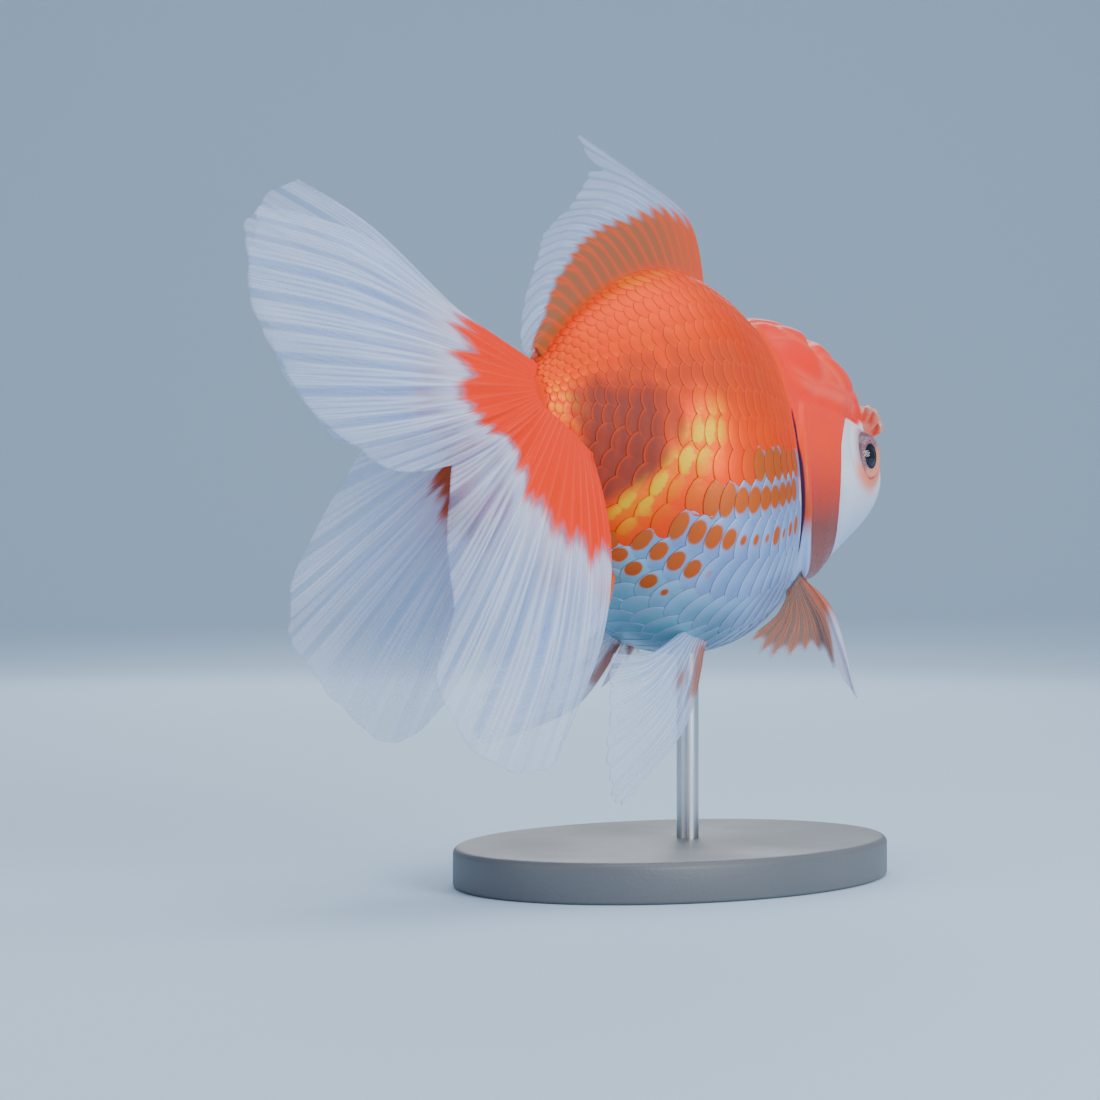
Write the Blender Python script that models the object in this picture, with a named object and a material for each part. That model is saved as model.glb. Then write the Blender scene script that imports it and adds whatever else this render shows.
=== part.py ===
"""Fancy goldfish: a red and white oranda, life size and still, on a plain display stand.

The fish is drawn in its own frame, in millimetres: +X towards the snout, +Y to its left, +Z up, with
x = 0 at the root of the tail fin. place() turns a point of that frame into metres above the floor.
"Out" is the distance from the fish's middle plane, so one set of fin rays serves both sides.
"""

import math

import bmesh
import bpy
from mathutils import Vector

RIGHT, LEFT = -1, 1  # sign of y on each side
SIDES = ((RIGHT, "right"), (LEFT, "left"))

# The whole model: the tail root is this high, and this far behind the middle of the stand.
TAIL_ROOT_HEIGHT = 59.0
TAIL_ROOT_BACK = 40.0
CLEARANCE = 0.3  # between pieces that touch

# Hull of the body without fins or head growth, from the snout to the end of the tail stalk. Each row is
# one cross-section: distance along x, height of its top and bottom, half width, and how far it is
# egg-shaped, with the belly wider than the back.
HULL = (
    (92.6, 14.2, 12.2, 1.0, 0.00),
    (92.0, 17.4, 9.6, 5.6, 0.00),
    (89.8, 22.2, 6.4, 10.5, 0.08),
    (85.4, 27.4, 2.5, 13.9, 0.12),
    (79.0, 31.4, -1.4, 15.9, 0.13),
    (71.5, 35.4, -6.0, 17.0, 0.13),
    (63.0, 39.2, -10.8, 17.5, 0.13),
    (55.0, 43.6, -15.6, 18.8, 0.16),
    (46.0, 48.0, -18.4, 22.2, 0.20),
    (36.0, 50.4, -18.4, 24.0, 0.19),
    (26.0, 48.4, -14.0, 21.8, 0.16),
    (17.0, 44.4, -5.8, 16.0, 0.14),
    (9.0, 39.4, 4.6, 10.2, 0.10),
    (3.0, 33.6, 13.2, 6.4, 0.04),
    (-0.6, 30.6, 17.0, 4.6, 0.00),
    (-2.2, 28.2, 19.8, 2.6, 0.00),
    (-2.6, 24.8, 23.2, 0.5, 0.00),
)
HULL_RINGS = 41
HULL_SEGMENTS = 32
REGION_LOW, REGION_HIGH = -40.0, 70.0  # the blocks that part the hull reach well past it
REGION_FRONT, REGION_REAR = 130.0, -30.0
REGION_HALF_WIDTH = 60.0

# Where the head ends: the edge of the gill opening, an arc in side view that is furthest back here.
GILL_BACK = (52.5, 12.0)  # x and z
GILL_ARC_ABOVE, GILL_ARC_BELOW = 0.010, 0.012  # forward travel for each mm squared above and below
STALK_FRONT = 15.0  # the tail stalk begins behind this x, where the anal fins stand

GILL_COVER_MIDDLE = (59.4, 11.0)
GILL_COVER_HALF = (6.3, 17.5)
GILL_COVER_THICKNESS = 1.1
EDGE_THINNING = 0.45  # how much thinner the cover is at its rim

GROWTH_FRONT, GROWTH_BACK = 86.6, 59.0  # the head growth covers the crown between these x
GROWTH_HALF_ANGLE = math.radians(53)  # either side of the crown's middle line
GROWTH_THICKNESS = 5.6
GROWTH_RIM = 0.5  # thickness at its edge
GROWTH_LOBES = 3.0  # lumps from front to back
GROWTH_LUMP_DEPTH = 0.14

EYE_CENTRE = (79.6, 12.8, 17.4)  # x, out, z
EYE_RADIUS = 4.9

FIN_THICKNESS = 0.7
FIN_ROOT_GAP = 0.4  # from the body to the edge of a fin on the back
PELVIC_SWEEP = math.radians(18)  # the left pelvic fin is swept back this much further than the right

STAND_BASE_SIZE = (92.0, 68.0, 7.0)
STAND_BASE_EDGE = 1.2
STAND_BASE_SIDES = 48
STAND_ROD_RADIUS = 2.0
STAND_ROD_X = 44.0  # under the deepest part of the belly
STAND_ROD_SIDES = 24


def place(x, y, z):
    """A point of the fish's frame, in metres in the model's frame."""
    return Vector((x - TAIL_ROOT_BACK, y, z + TAIL_ROOT_HEIGHT)) * 0.001


# ---------------------------------------------------------------- curves and the body's surface


def through(rows, t):
    """The point at t, from 0 to len(rows) - 1, on a smooth curve through the rows."""
    i = min(max(int(t), 0), len(rows) - 2)
    f = t - i
    a, b, c, d = (rows[min(max(k, 0), len(rows) - 1)] for k in (i - 1, i, i + 1, i + 2))
    weights = (
        (-f + 2 * f * f - f**3) / 2,
        (2 - 5 * f * f + 3 * f**3) / 2,
        (f + 4 * f * f - 3 * f**3) / 2,
        (f**3 - f * f) / 2,
    )
    return tuple(
        sum(w * v for w, v in zip(weights, column)) for column in zip(a, b, c, d)
    )


def hull_point(t, angle, lift=0.0):
    """A point on section t of the hull. Angle 0 is the left flank, 90 degrees the back. Lift raises it."""

    def on_skin(t, angle):
        x, top, bottom, half_width, egg = through(HULL, t)
        sine = math.sin(angle)
        return Vector(
            (
                x,
                half_width * math.cos(angle) * (1 - egg * sine),
                (top + bottom) / 2 + (top - bottom) / 2 * sine,
            )
        )

    point = on_skin(t, angle)
    if lift:
        step = 0.01
        along = on_skin(t + step, angle) - on_skin(t - step, angle)
        around = on_skin(t, angle + step) - on_skin(t, angle - step)
        point += around.cross(along).normalized() * -lift
    return point


def hull_row_at(x):
    """The section t of the hull whose plane is at x."""
    low, high = 1.0, len(HULL) - 2.0
    for _ in range(30):
        middle = (low + high) / 2
        if through(HULL, middle)[0] > x:
            low = middle
        else:
            high = middle
    return (low + high) / 2


def angle_at(t, z):
    """The angle on the left flank of section t at height z."""
    _, top, bottom, _, _ = through(HULL, t)
    return math.asin(max(-1.0, min(1.0, (2 * z - top - bottom) / (top - bottom))))


def on_flank(x, z, lift=CLEARANCE):
    """The point of the left flank at x and z, as (x, out, z)."""
    t = hull_row_at(x)
    return hull_point(t, angle_at(t, z), lift)


def on_belly(x, out, lift=CLEARANCE):
    """The point under the belly at x and that far out."""
    t = hull_row_at(x)
    half_width = through(HULL, t)[3]
    return hull_point(t, -math.acos(min(1.0, out / half_width)), lift)


def on_back(x, lift=CLEARANCE):
    """The point on the back's middle line at x."""
    return hull_point(hull_row_at(x), math.pi / 2, lift)


def gill_edge(z):
    """How far along the gill opening lies at height z."""
    x, middle = GILL_BACK
    arc = GILL_ARC_ABOVE if z > middle else GILL_ARC_BELOW
    return x + arc * (z - middle) ** 2


# ---------------------------------------------------------------- objects and materials


def material(name, colour, roughness, metallic=0.0):
    made = bpy.data.materials.new(name)
    made.use_nodes = True
    shader = made.node_tree.nodes["Principled BSDF"]
    shader.inputs["Base Color"].default_value = (*colour, 1)
    shader.inputs["Roughness"].default_value = roughness
    shader.inputs["Metallic"].default_value = metallic
    return made


def add_object(name, points, faces, finish, smooth=True):
    """A mesh object from points of the fish's frame."""
    mesh = bpy.data.meshes.new(name)
    mesh.from_pydata([place(*p) for p in points], [], faces)
    made = bpy.data.objects.new(name, mesh)
    bpy.context.scene.collection.objects.link(made)
    bm = bmesh.new()
    bm.from_mesh(mesh)
    bmesh.ops.recalc_face_normals(bm, faces=bm.faces)
    bm.to_mesh(mesh)
    bm.free()
    mesh.materials.append(finish)
    if smooth:
        mesh.shade_smooth()
        mesh.set_sharp_from_angle(angle=math.radians(50))
    return made


def helper(name, points, faces):
    """A cutter: it shapes other objects and isn't part of the model."""
    made = add_object(name, points, faces, MATERIALS["flesh"], smooth=False)
    made.hide_render = True
    made.display_type = "WIRE"
    return made


def add_boolean(target, tool, operation):
    cut = target.modifiers.new(f"{operation.lower()} {tool.name}", "BOOLEAN")
    cut.object = tool
    cut.operation = operation
    cut.solver = "EXACT"


def lofted(rings):
    """Points and faces of closed rings joined into a tube with flat ends."""
    count = len(rings[0])
    points = [p for ring in rings for p in ring]
    faces = [list(range(count))[::-1], [len(points) - count + i for i in range(count)]]
    for r in range(len(rings) - 1):
        for i in range(count):
            j = (i + 1) % count
            faces.append((r * count + i, r * count + j, (r + 1) * count + j, (r + 1) * count + i))
    return points, faces


def closed_sheet(front, back):
    """Points and faces of a plate between two grids of points, with its rim closed."""
    rows, columns = len(front), len(front[0])
    points = [p for row in front for p in row] + [p for row in back for p in row]

    def index(side, r, c):
        return (side * rows + r) * columns + c

    faces = []
    for r in range(rows - 1):
        for c in range(columns - 1):
            faces.append([index(0, r, c), index(0, r + 1, c), index(0, r + 1, c + 1), index(0, r, c + 1)])
            faces.append([index(1, r, c), index(1, r, c + 1), index(1, r + 1, c + 1), index(1, r + 1, c)])
    for r in range(rows - 1):
        for c in (0, columns - 1):
            faces.append([index(0, r, c), index(0, r + 1, c), index(1, r + 1, c), index(1, r, c)])
    for c in range(columns - 1):
        for r in (0, rows - 1):
            faces.append([index(0, r, c), index(0, r, c + 1), index(1, r, c + 1), index(1, r, c)])
    return points, faces


def prism(outline):
    """Points and faces of an outline in x and z, drawn out to both sides."""
    sides = (-REGION_HALF_WIDTH, REGION_HALF_WIDTH)
    return lofted([[(x, y, z) for x, z in outline] for y in sides])


def spread(low, high, count):
    return [low + (high - low) * i / (count - 1) for i in range(count)]


# ---------------------------------------------------------------- body


def make_body():
    """Head, trunk and tail stalk: one hull, parted by thin cuts at the gill edge and behind the belly."""
    rings = [
        [hull_point(t, 2 * math.pi * i / HULL_SEGMENTS) for i in range(HULL_SEGMENTS)]
        for t in spread(0, len(HULL) - 1, HULL_RINGS)
    ]
    points, faces = lofted(rings)
    heights = spread(REGION_LOW, REGION_HIGH, 23)
    half_gap = CLEARANCE / 2
    ends = (REGION_LOW, REGION_HIGH)
    regions = {
        "head": [(gill_edge(z) + half_gap, z) for z in heights]
        + [(REGION_FRONT, z) for z in reversed(ends)],
        "trunk": [(gill_edge(z) - half_gap, z) for z in reversed(heights)]
        + [(STALK_FRONT + half_gap, z) for z in ends],
        "tail_stalk": [(STALK_FRONT - half_gap, z) for z in reversed(ends)]
        + [(REGION_REAR, z) for z in ends],
    }
    made = {}
    for name, outline in regions.items():
        made[name] = add_object(name, points, faces, MATERIALS["flesh"])
        add_boolean(made[name], helper(f"{name}_region", *prism(outline)), "INTERSECT")
    return made


def make_gill_cover(side, label):
    """The bony plate over the gills, a rounded shield that stands proud of the head."""
    middle_x, middle_z = GILL_COVER_MIDDLE
    half_x, half_z = GILL_COVER_HALF
    inner, outer = [], []
    for q in spread(-0.97, 0.97, 13):
        z = middle_z + half_z * q
        reach = half_x * math.sqrt(1 - abs(q) ** 3)
        bend = gill_edge(z) - GILL_BACK[0]
        inner.append([])
        outer.append([])
        for p in spread(-1, 1, 7):
            x = middle_x + bend + reach * p
            t = hull_row_at(x)
            angle = angle_at(t, z)
            edge = (1 - EDGE_THINNING * p**4) * (1 - EDGE_THINNING * q**4)
            for grid, lift in ((inner, CLEARANCE), (outer, CLEARANCE + GILL_COVER_THICKNESS * edge)):
                point = hull_point(t, angle, lift)
                grid[-1].append((point.x, side * point.y, point.z))
    return add_object(f"gill_cover_{label}", *closed_sheet(outer, inner), MATERIALS["flesh"])


def make_head_growth():
    """The soft hood of an oranda: a lobed cushion on the crown, thickest over the brow."""
    inner, outer = [], []
    front, back = hull_row_at(GROWTH_FRONT), hull_row_at(GROWTH_BACK)
    for p in spread(0, 1, 12):
        t = front + (back - front) * p
        inner.append([])
        outer.append([])
        for q in spread(-1, 1, 13):
            angle = math.pi / 2 - q * GROWTH_HALF_ANGLE
            dome = (1 - abs(2 * p - 1) ** 3) * (1 - abs(q) ** 4)
            wave = math.cos(2 * math.pi * GROWTH_LOBES * p) * math.cos(5 * q)
            lumps = 1 - GROWTH_LUMP_DEPTH + GROWTH_LUMP_DEPTH * wave
            lift = CLEARANCE + GROWTH_RIM + GROWTH_THICKNESS * dome * lumps
            inner[-1].append(hull_point(t, angle, CLEARANCE))
            outer[-1].append(hull_point(t, angle, lift))
    return add_object("head_growth", *closed_sheet(outer, inner), MATERIALS["flesh"])


def ball(centre, radius, rings=10, segments=16):
    """Points and faces of a sphere, its poles on the y axis."""
    x, y, z = centre
    points = [(x, y - radius, z)]
    for r in range(1, rings):
        polar = math.pi * r / rings
        ring_radius = radius * math.sin(polar)
        for s in range(segments):
            turn = 2 * math.pi * s / segments
            points.append(
                (
                    x + ring_radius * math.cos(turn),
                    y - radius * math.cos(polar),
                    z + ring_radius * math.sin(turn),
                )
            )
    points.append((x, y + radius, z))
    last = len(points) - 1
    faces = []
    for s in range(segments):
        n = (s + 1) % segments
        faces.append((0, 1 + s, 1 + n))
        for r in range(rings - 2):
            a, b = 1 + r * segments, 1 + (r + 1) * segments
            faces.append((a + s, b + s, b + n, a + n))
        faces.append((last - segments + s, last, last - segments + n))
    return points, faces


def make_eye(side, label, head):
    """An eyeball in a socket cut from the head."""
    centre = (EYE_CENTRE[0], side * EYE_CENTRE[1], EYE_CENTRE[2])
    socket = helper(f"eye_socket_{label}", *ball(centre, EYE_RADIUS + CLEARANCE))
    add_boolean(head, socket, "DIFFERENCE")
    return add_object(f"eye_{label}", *ball(centre, EYE_RADIUS), MATERIALS["eye"])


# ---------------------------------------------------------------- fins


def ray_point(rays, u, v):
    """A point of a fin: u runs across its rays from the leading one, v along them from root to tip.
    Each ray is a list of points from its root to its tip."""
    ray = [through(column, u * (len(rays) - 1)) for column in zip(*rays)]
    return Vector(through(ray, v * (len(ray) - 1)))


def make_fin(name, rays, side, across, along, start=0.0, end=1.0):
    """A fin as a thin plate that follows its rays, or those from start to end."""
    grid = [
        [ray_point(rays, u, v) for v in spread(0.0, 1.0, along)]
        for u in spread(start, end, across)
    ]
    front, back = [], []
    for i, row in enumerate(grid):
        before, after = grid[max(i - 1, 0)], grid[min(i + 1, across - 1)]
        front.append([])
        back.append([])
        for j, middle in enumerate(row):
            beside = after[j] - before[j]
            onward = row[min(j + 1, along - 1)] - row[max(j - 1, 0)]
            normal = beside.cross(onward).normalized()
            for plate, offset in ((front, FIN_THICKNESS / 2), (back, -FIN_THICKNESS / 2)):
                point = middle + normal * offset
                plate[-1].append((point.x, side * point.y, point.z))
    return add_object(name, *closed_sheet(front, back), MATERIALS["fin"])


def dorsal_rays():
    """The tall fin on the back, leading ray first. Its rays sweep backwards."""
    rays = (
        (48.4, (43.8, 0.0, 59.2), (29.5, 0.0, 65.7), (12.1, 0.0, 71.9)),
        (43.0, (37.2, 0.3, 60.0), (26.0, 0.4, 64.4), (14.6, 0.4, 65.4)),
        (36.0, (29.5, 0.5, 57.6), (20.0, 0.6, 60.4), (9.6, 0.6, 59.6)),
        (28.5, (21.4, 0.5, 54.6), (12.6, 0.6, 56.4), (3.8, 0.6, 54.4)),
        (21.0, (14.4, 0.4, 50.6), (7.4, 0.4, 51.4), (0.6, 0.4, 49.0)),
        (14.0, (8.6, 0.2, 45.0), (3.4, 0.2, 45.2), (-1.6, 0.2, 42.0)),
        (8.0, (4.6, 0.0, 39.8), (0.9, 0.0, 38.4), (-2.7, 0.0, 34.8)),
    )
    return [(on_back(x, FIN_ROOT_GAP), *points) for x, *points in rays]


# The double tail: each half has an upper lobe, top ray first, and a lower lobe that starts at the fork.
# The left half trails closer to the middle plane, as in a turn.
UPPER_ROOTS = (
    (-0.8, 0.9, 31.6),
    (-1.9, 1.5, 30.2),
    (-2.9, 2.1, 28.8),
    (-3.3, 2.9, 27.2),
    (-3.3, 3.5, 25.8),
    (-3.1, 4.0, 24.8),
    (-2.7, 4.5, 23.8),
)
LOWER_ROOTS = (
    (-2.7, 4.5, 23.8),
    (-1.6, 5.2, 22.4),
    (0.2, 6.1, 20.6),
    (2.2, 7.1, 18.8),
    (4.0, 8.0, 17.0),
    (5.6, 9.0, 15.4),
)
UPPER_LOBES = {
    RIGHT: (
        ((-21.5, 2.0, 39.3), (-43.0, 3.2, 48.9), (-68.0, 4.5, 52.3)),
        ((-25.9, 3.7, 38.0), (-50.0, 5.1, 44.6), (-73.0, 5.5, 47.2)),
        ((-26.0, 5.4, 32.4), (-50.0, 7.1, 35.4), (-72.4, 7.0, 37.2)),
        ((-24.0, 6.8, 26.9), (-46.0, 8.6, 26.6), (-67.4, 8.7, 26.6)),
        ((-20.9, 7.2, 22.7), (-39.0, 9.4, 19.6), (-55.8, 10.0, 17.0)),
        ((-17.1, 7.3, 20.7), (-32.0, 9.6, 16.6), (-47.0, 10.6, 12.8)),
        ((-13.8, 7.5, 19.3), (-25.3, 9.6, 15.3), (-36.7, 11.2, 11.9)),
    ),
    LEFT: (
        ((-18.0, 1.0, 39.9), (-37.6, 1.3, 51.4), (-54.6, 1.5, 57.8)),
        ((-22.0, 2.2, 38.2), (-43.0, 2.2, 47.8), (-61.5, 2.0, 54.0)),
        ((-23.5, 3.2, 33.8), (-44.5, 3.0, 41.2), (-63.8, 2.5, 46.0)),
        ((-22.5, 4.8, 28.8), (-42.0, 4.4, 32.6), (-60.0, 3.5, 36.0)),
        ((-19.5, 6.0, 24.6), (-36.5, 6.2, 26.0), (-52.0, 5.5, 26.5)),
        ((-16.4, 6.8, 22.0), (-30.6, 7.6, 20.8), (-43.5, 7.4, 20.5)),
        ((-13.6, 7.2, 20.0), (-24.9, 8.6, 17.8), (-36.0, 9.0, 16.2)),
    ),
}
LOWER_LOBES = {
    RIGHT: (
        UPPER_LOBES[RIGHT][-1],
        ((-12.2, 8.0, 13.2), (-23.8, 11.0, 3.7), (-35.5, 14.2, -6.0)),
        ((-12.0, 10.0, 7.6), (-26.4, 13.9, -7.0), (-42.2, 17.5, -22.5)),
        ((-5.6, 11.0, 0.9), (-17.2, 14.9, -16.9), (-31.6, 18.2, -34.0)),
        ((1.4, 11.4, -0.6), (-5.5, 14.4, -18.5), (-16.5, 16.4, -36.0)),
        ((7.9, 11.0, 0.7), (3.1, 13.1, -15.0), (-9.0, 15.0, -31.5)),
    ),
    LEFT: (
        UPPER_LOBES[LEFT][-1],
        ((-13.3, 8.0, 14.5), (-27.1, 11.0, 5.2), (-42.6, 14.0, -5.2)),
        ((-12.3, 9.7, 9.9), (-26.0, 13.2, -2.2), (-40.8, 16.0, -15.4)),
        ((-7.0, 11.0, 4.4), (-17.2, 14.8, -10.4), (-28.6, 17.6, -26.0)),
        ((0.0, 11.5, 1.2), (-6.6, 15.0, -15.6), (-15.6, 17.6, -33.2)),
        ((7.0, 11.0, 0.7), (3.2, 13.2, -13.5), (-5.0, 15.3, -27.0)),
    ),
}


def tail_rays(roots, lobe):
    return [(root, *points) for root, points in zip(roots, lobe)]


def pectoral_rays():
    """The fin behind the gill cover, spread outwards and down. Its stiff leading ray is the longest."""
    return [
        (on_flank(57.2, -4.4), (57.8, 21.8, -11.0), (55.2, 29.2, -26.2)),
        (on_flank(56.5, -5.0), (57.2, 20.8, -12.4), (55.8, 25.4, -22.6)),
        (on_flank(55.8, -5.6), (56.2, 18.8, -12.6), (56.6, 19.8, -18.2)),
        (on_flank(55.0, -6.3), (53.6, 17.8, -12.8), (52.0, 17.4, -19.2)),
        (on_flank(54.2, -7.0), (50.6, 17.0, -12.6), (45.0, 16.2, -19.2)),
        (on_flank(53.4, -7.7), (48.0, 16.8, -11.8), (41.3, 15.4, -15.8)),
    ]


def pelvic_rays():
    """The fin under the belly, trailing backwards and down."""
    return [
        (on_belly(36.0, 8.0), (28.6, 11.0, -31.0), (8.6, 13.0, -43.2)),
        (on_belly(34.5, 8.0), (25.0, 11.0, -29.6), (6.0, 12.6, -41.0)),
        (on_belly(33.0, 8.0), (22.4, 10.6, -26.4), (6.0, 12.0, -34.0)),
        (on_belly(31.5, 8.0), (20.4, 10.2, -22.2), (7.4, 11.2, -26.0)),
        (on_belly(30.0, 8.0), (20.0, 9.8, -18.0), (9.4, 10.4, -17.4)),
    ]


def swept(rays, turn):
    """The rays turned backwards about the leading root by an angle in side view."""
    hinge = Vector(rays[0][0])

    def turned(point):
        d = Vector(point) - hinge
        return Vector(
            (
                hinge.x + d.x * math.cos(turn) + d.z * math.sin(turn),
                hinge.y + d.y,
                hinge.z - d.x * math.sin(turn) + d.z * math.cos(turn),
            )
        )

    return [(root, turned(middle), turned(tip)) for root, middle, tip in rays]


def anal_rays():
    """One of the paired small fins behind the vent, under the tail stalk."""
    return [
        (on_belly(17.0, 4.0), (12.0, 5.6, -13.0), (-2.0, 7.0, -20.0)),
        (on_belly(14.0, 3.8), (8.4, 5.4, -9.4), (-4.4, 6.6, -15.0)),
        (on_belly(11.0, 3.4), (5.4, 4.8, -4.2), (-3.6, 5.6, -7.0)),
    ]


def make_nostril_flap(side, label):
    """The small fleshy frill that stands up from the nostril, in front of the eye."""
    rays = [
        (on_flank(89.6, 19.0), (90.2, 10.4, 22.0), (89.4, 11.4, 24.8)),
        (on_flank(88.9, 20.0), (89.2, 10.2, 24.2), (88.8, 10.2, 27.0)),
        (on_flank(88.2, 21.0), (88.2, 9.8, 24.6), (87.8, 9.2, 26.2)),
    ]
    return make_fin(f"nostril_flap_{label}", rays, side, across=5, along=4)


# ---------------------------------------------------------------- stand


def make_stand_base():
    """A flat oval base with an eased edge, on the floor."""
    length, width, height = STAND_BASE_SIZE
    floor = -TAIL_ROOT_HEIGHT
    levels = (
        (0.0, 0.0),
        (height - STAND_BASE_EDGE, 0.0),
        (height - 0.3 * STAND_BASE_EDGE, 0.3 * STAND_BASE_EDGE),
        (height, STAND_BASE_EDGE),
    )
    rings = [
        [
            (
                TAIL_ROOT_BACK + (length / 2 - inset) * math.cos(turn),
                (width / 2 - inset) * math.sin(turn),
                floor + up,
            )
            for turn in (2 * math.pi * i / STAND_BASE_SIDES for i in range(STAND_BASE_SIDES))
        ]
        for up, inset in levels
    ]
    return add_object("stand_base", *lofted(rings), MATERIALS["stand"])


def make_stand_rod():
    """One upright rod between the base and the belly."""
    foot = STAND_BASE_SIZE[2] - TAIL_ROOT_HEIGHT + CLEARANCE
    head = through(HULL, hull_row_at(STAND_ROD_X))[2] - CLEARANCE
    rings = [
        [
            (STAND_ROD_X + STAND_ROD_RADIUS * math.cos(turn), STAND_ROD_RADIUS * math.sin(turn), z)
            for turn in (2 * math.pi * i / STAND_ROD_SIDES for i in range(STAND_ROD_SIDES))
        ]
        for z in (foot, head)
    ]
    return add_object("stand_rod", *lofted(rings), MATERIALS["stand"])


# ---------------------------------------------------------------- the model

for old in list(bpy.data.objects):
    bpy.data.objects.remove(old)

MATERIALS = {
    "flesh": material("flesh", (0.90, 0.22, 0.06), 0.35),
    "fin": material("fin", (0.86, 0.88, 0.93), 0.45),
    "eye": material("eye", (0.02, 0.02, 0.03), 0.08),
    "stand": material("stand", (0.55, 0.57, 0.60), 0.35, 0.8),
}

body = make_body()
make_head_growth()
make_fin("dorsal_fin", dorsal_rays(), RIGHT, across=15, along=9)
for side, label in SIDES:
    make_gill_cover(side, label)
    make_eye(side, label, body["head"])
    make_nostril_flap(side, label)
    make_fin(f"pectoral_fin_{label}", pectoral_rays(), side, across=9, along=7)
    make_fin(f"anal_fin_{label}", anal_rays(), side, across=7, along=7)
    upper = tail_rays(UPPER_ROOTS, UPPER_LOBES[side])
    lower = tail_rays(LOWER_ROOTS, LOWER_LOBES[side])
    make_fin(f"tail_upper_{label}", upper, side, across=13, along=9, end=0.996)
    make_fin(f"tail_lower_{label}", lower, side, across=13, along=9, start=0.006)
make_fin("pelvic_fin_right", pelvic_rays(), RIGHT, across=9, along=8)
make_fin("pelvic_fin_left", swept(pelvic_rays(), PELVIC_SWEEP), LEFT, across=9, along=8)
make_stand_base()
make_stand_rod()
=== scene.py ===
"""Looks of a fancy goldfish: a red and white oranda, life size and still, on a plain display stand.

Shapes are worked out in the fish's own frame, in millimetres: +X towards the snout, +Y to its left,
+Z up, with x = 0 at the root of the tail fin. place() turns points of that frame into metres.
"""

import math

import bmesh
import bpy
import numpy as np
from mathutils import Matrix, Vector


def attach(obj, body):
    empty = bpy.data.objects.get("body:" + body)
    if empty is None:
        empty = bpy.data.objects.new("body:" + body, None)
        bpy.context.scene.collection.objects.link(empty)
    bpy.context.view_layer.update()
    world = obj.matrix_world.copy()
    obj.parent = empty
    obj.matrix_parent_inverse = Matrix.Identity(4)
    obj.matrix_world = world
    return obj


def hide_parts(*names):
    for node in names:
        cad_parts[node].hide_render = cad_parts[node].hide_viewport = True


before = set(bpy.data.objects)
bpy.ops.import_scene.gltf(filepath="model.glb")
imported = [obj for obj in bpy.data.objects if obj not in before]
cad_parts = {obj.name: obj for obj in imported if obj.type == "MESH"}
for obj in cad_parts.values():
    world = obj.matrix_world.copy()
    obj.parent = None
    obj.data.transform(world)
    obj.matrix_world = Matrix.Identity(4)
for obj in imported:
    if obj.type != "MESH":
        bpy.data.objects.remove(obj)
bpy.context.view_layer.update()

# ---------------------------------------------------------------- camera
# The fish is seen level, from behind its right flank, so that the tail spreads towards the viewer.
# The lens is long and half a metre away.

TAIL_ROOT = np.array((-40.0, 0.0, 59.0))  # the tail root in the model's frame
VIEW_TURN = math.radians(-50)  # from square on to the right flank, round towards the tail
VIEW_DISTANCE = 500.0
VIEW_HALF_WIDTH = 93.22  # half of what the view takes in at the tail root
VIEW_SHIFT = 3.39  # the view's middle line passes this far to the right of the tail root
SENSOR = 36.0


def linked(name, data):
    """A new object of the scene with the data."""
    made = bpy.data.objects.new(name, data)
    bpy.context.scene.collection.objects.link(made)
    return made


look = np.array((-math.sin(VIEW_TURN), math.cos(VIEW_TURN), 0.0))
rightward = np.array((look[1], -look[0], 0.0))
camera_data = bpy.data.cameras.new("camera")
camera_data.sensor_width = SENSOR
camera_data.lens = SENSOR / 2 * VIEW_DISTANCE / VIEW_HALF_WIDTH
camera = linked("camera", camera_data)
camera.location = (TAIL_ROOT - look * VIEW_DISTANCE + rightward * VIEW_SHIFT) * 0.001
camera.rotation_euler = Vector(look).to_track_quat("-Z", "Y").to_euler()
bpy.context.scene.camera = camera

# ---------------------------------------------------------------- studio
# A pale blue-grey sheet of paper makes the floor and curves up behind the fish. The key light is a
# soft box square to its right flank, a larger one hangs above, and weak ones fill in from behind and
# from its left.

PAPER = (0.56, 0.74, 0.93)
SKYLIGHT = (0.80, 0.88, 1.0)
SKYLIGHT_STRENGTH = 0.42
LIGHTS_AIM = Vector((0.0, 0.0, 0.075))  # the middle of the fish, in metres


def plain_finish(name, plain):
    """A material with plain values at its shader's sockets, and the shader."""
    made = bpy.data.materials.new(name)
    made.use_nodes = True
    shader = made.node_tree.nodes["Principled BSDF"]
    for socket, value in plain.items():
        shader.inputs[socket].default_value = value
    return made, shader


def paper_sheet():
    """Floor and backdrop as one swept sheet, square to the view."""
    half_width, near, bend_start, bend_radius, top = 3.0, -1.6, 0.85, 0.6, 2.4
    profile = [(near, 0.0), (0.0, 0.0), (bend_start, 0.0)]
    for turn in np.linspace(0, math.pi / 2, 17)[1:]:
        profile.append(
            (bend_start + bend_radius * math.sin(turn), bend_radius * (1 - math.cos(turn)))
        )
    profile.append((bend_start + bend_radius, top))
    points = [
        Vector(look) * along + Vector(rightward) * across + Vector((0, 0, up))
        for along, up in profile
        for across in (-half_width, half_width)
    ]
    faces = [(2 * i, 2 * i + 1, 2 * i + 3, 2 * i + 2) for i in range(len(profile) - 1)]
    mesh = bpy.data.meshes.new("paper")
    mesh.from_pydata(points, [], faces)
    mesh.shade_smooth()
    mesh.materials.append(plain_finish("paper", {"Base Color": (*PAPER, 1), "Roughness": 0.9})[0])
    return linked("paper", mesh)


paper_sheet()


def soft_box(name, towards, distance, size, power):
    """A square area light that faces the fish."""
    data = bpy.data.lights.new(name, "AREA")
    data.size = size
    data.energy = power
    made = linked(name, data)
    made.location = LIGHTS_AIM + Vector(towards).normalized() * distance
    made.rotation_euler = (LIGHTS_AIM - made.location).to_track_quat("-Z", "Y").to_euler()


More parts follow.
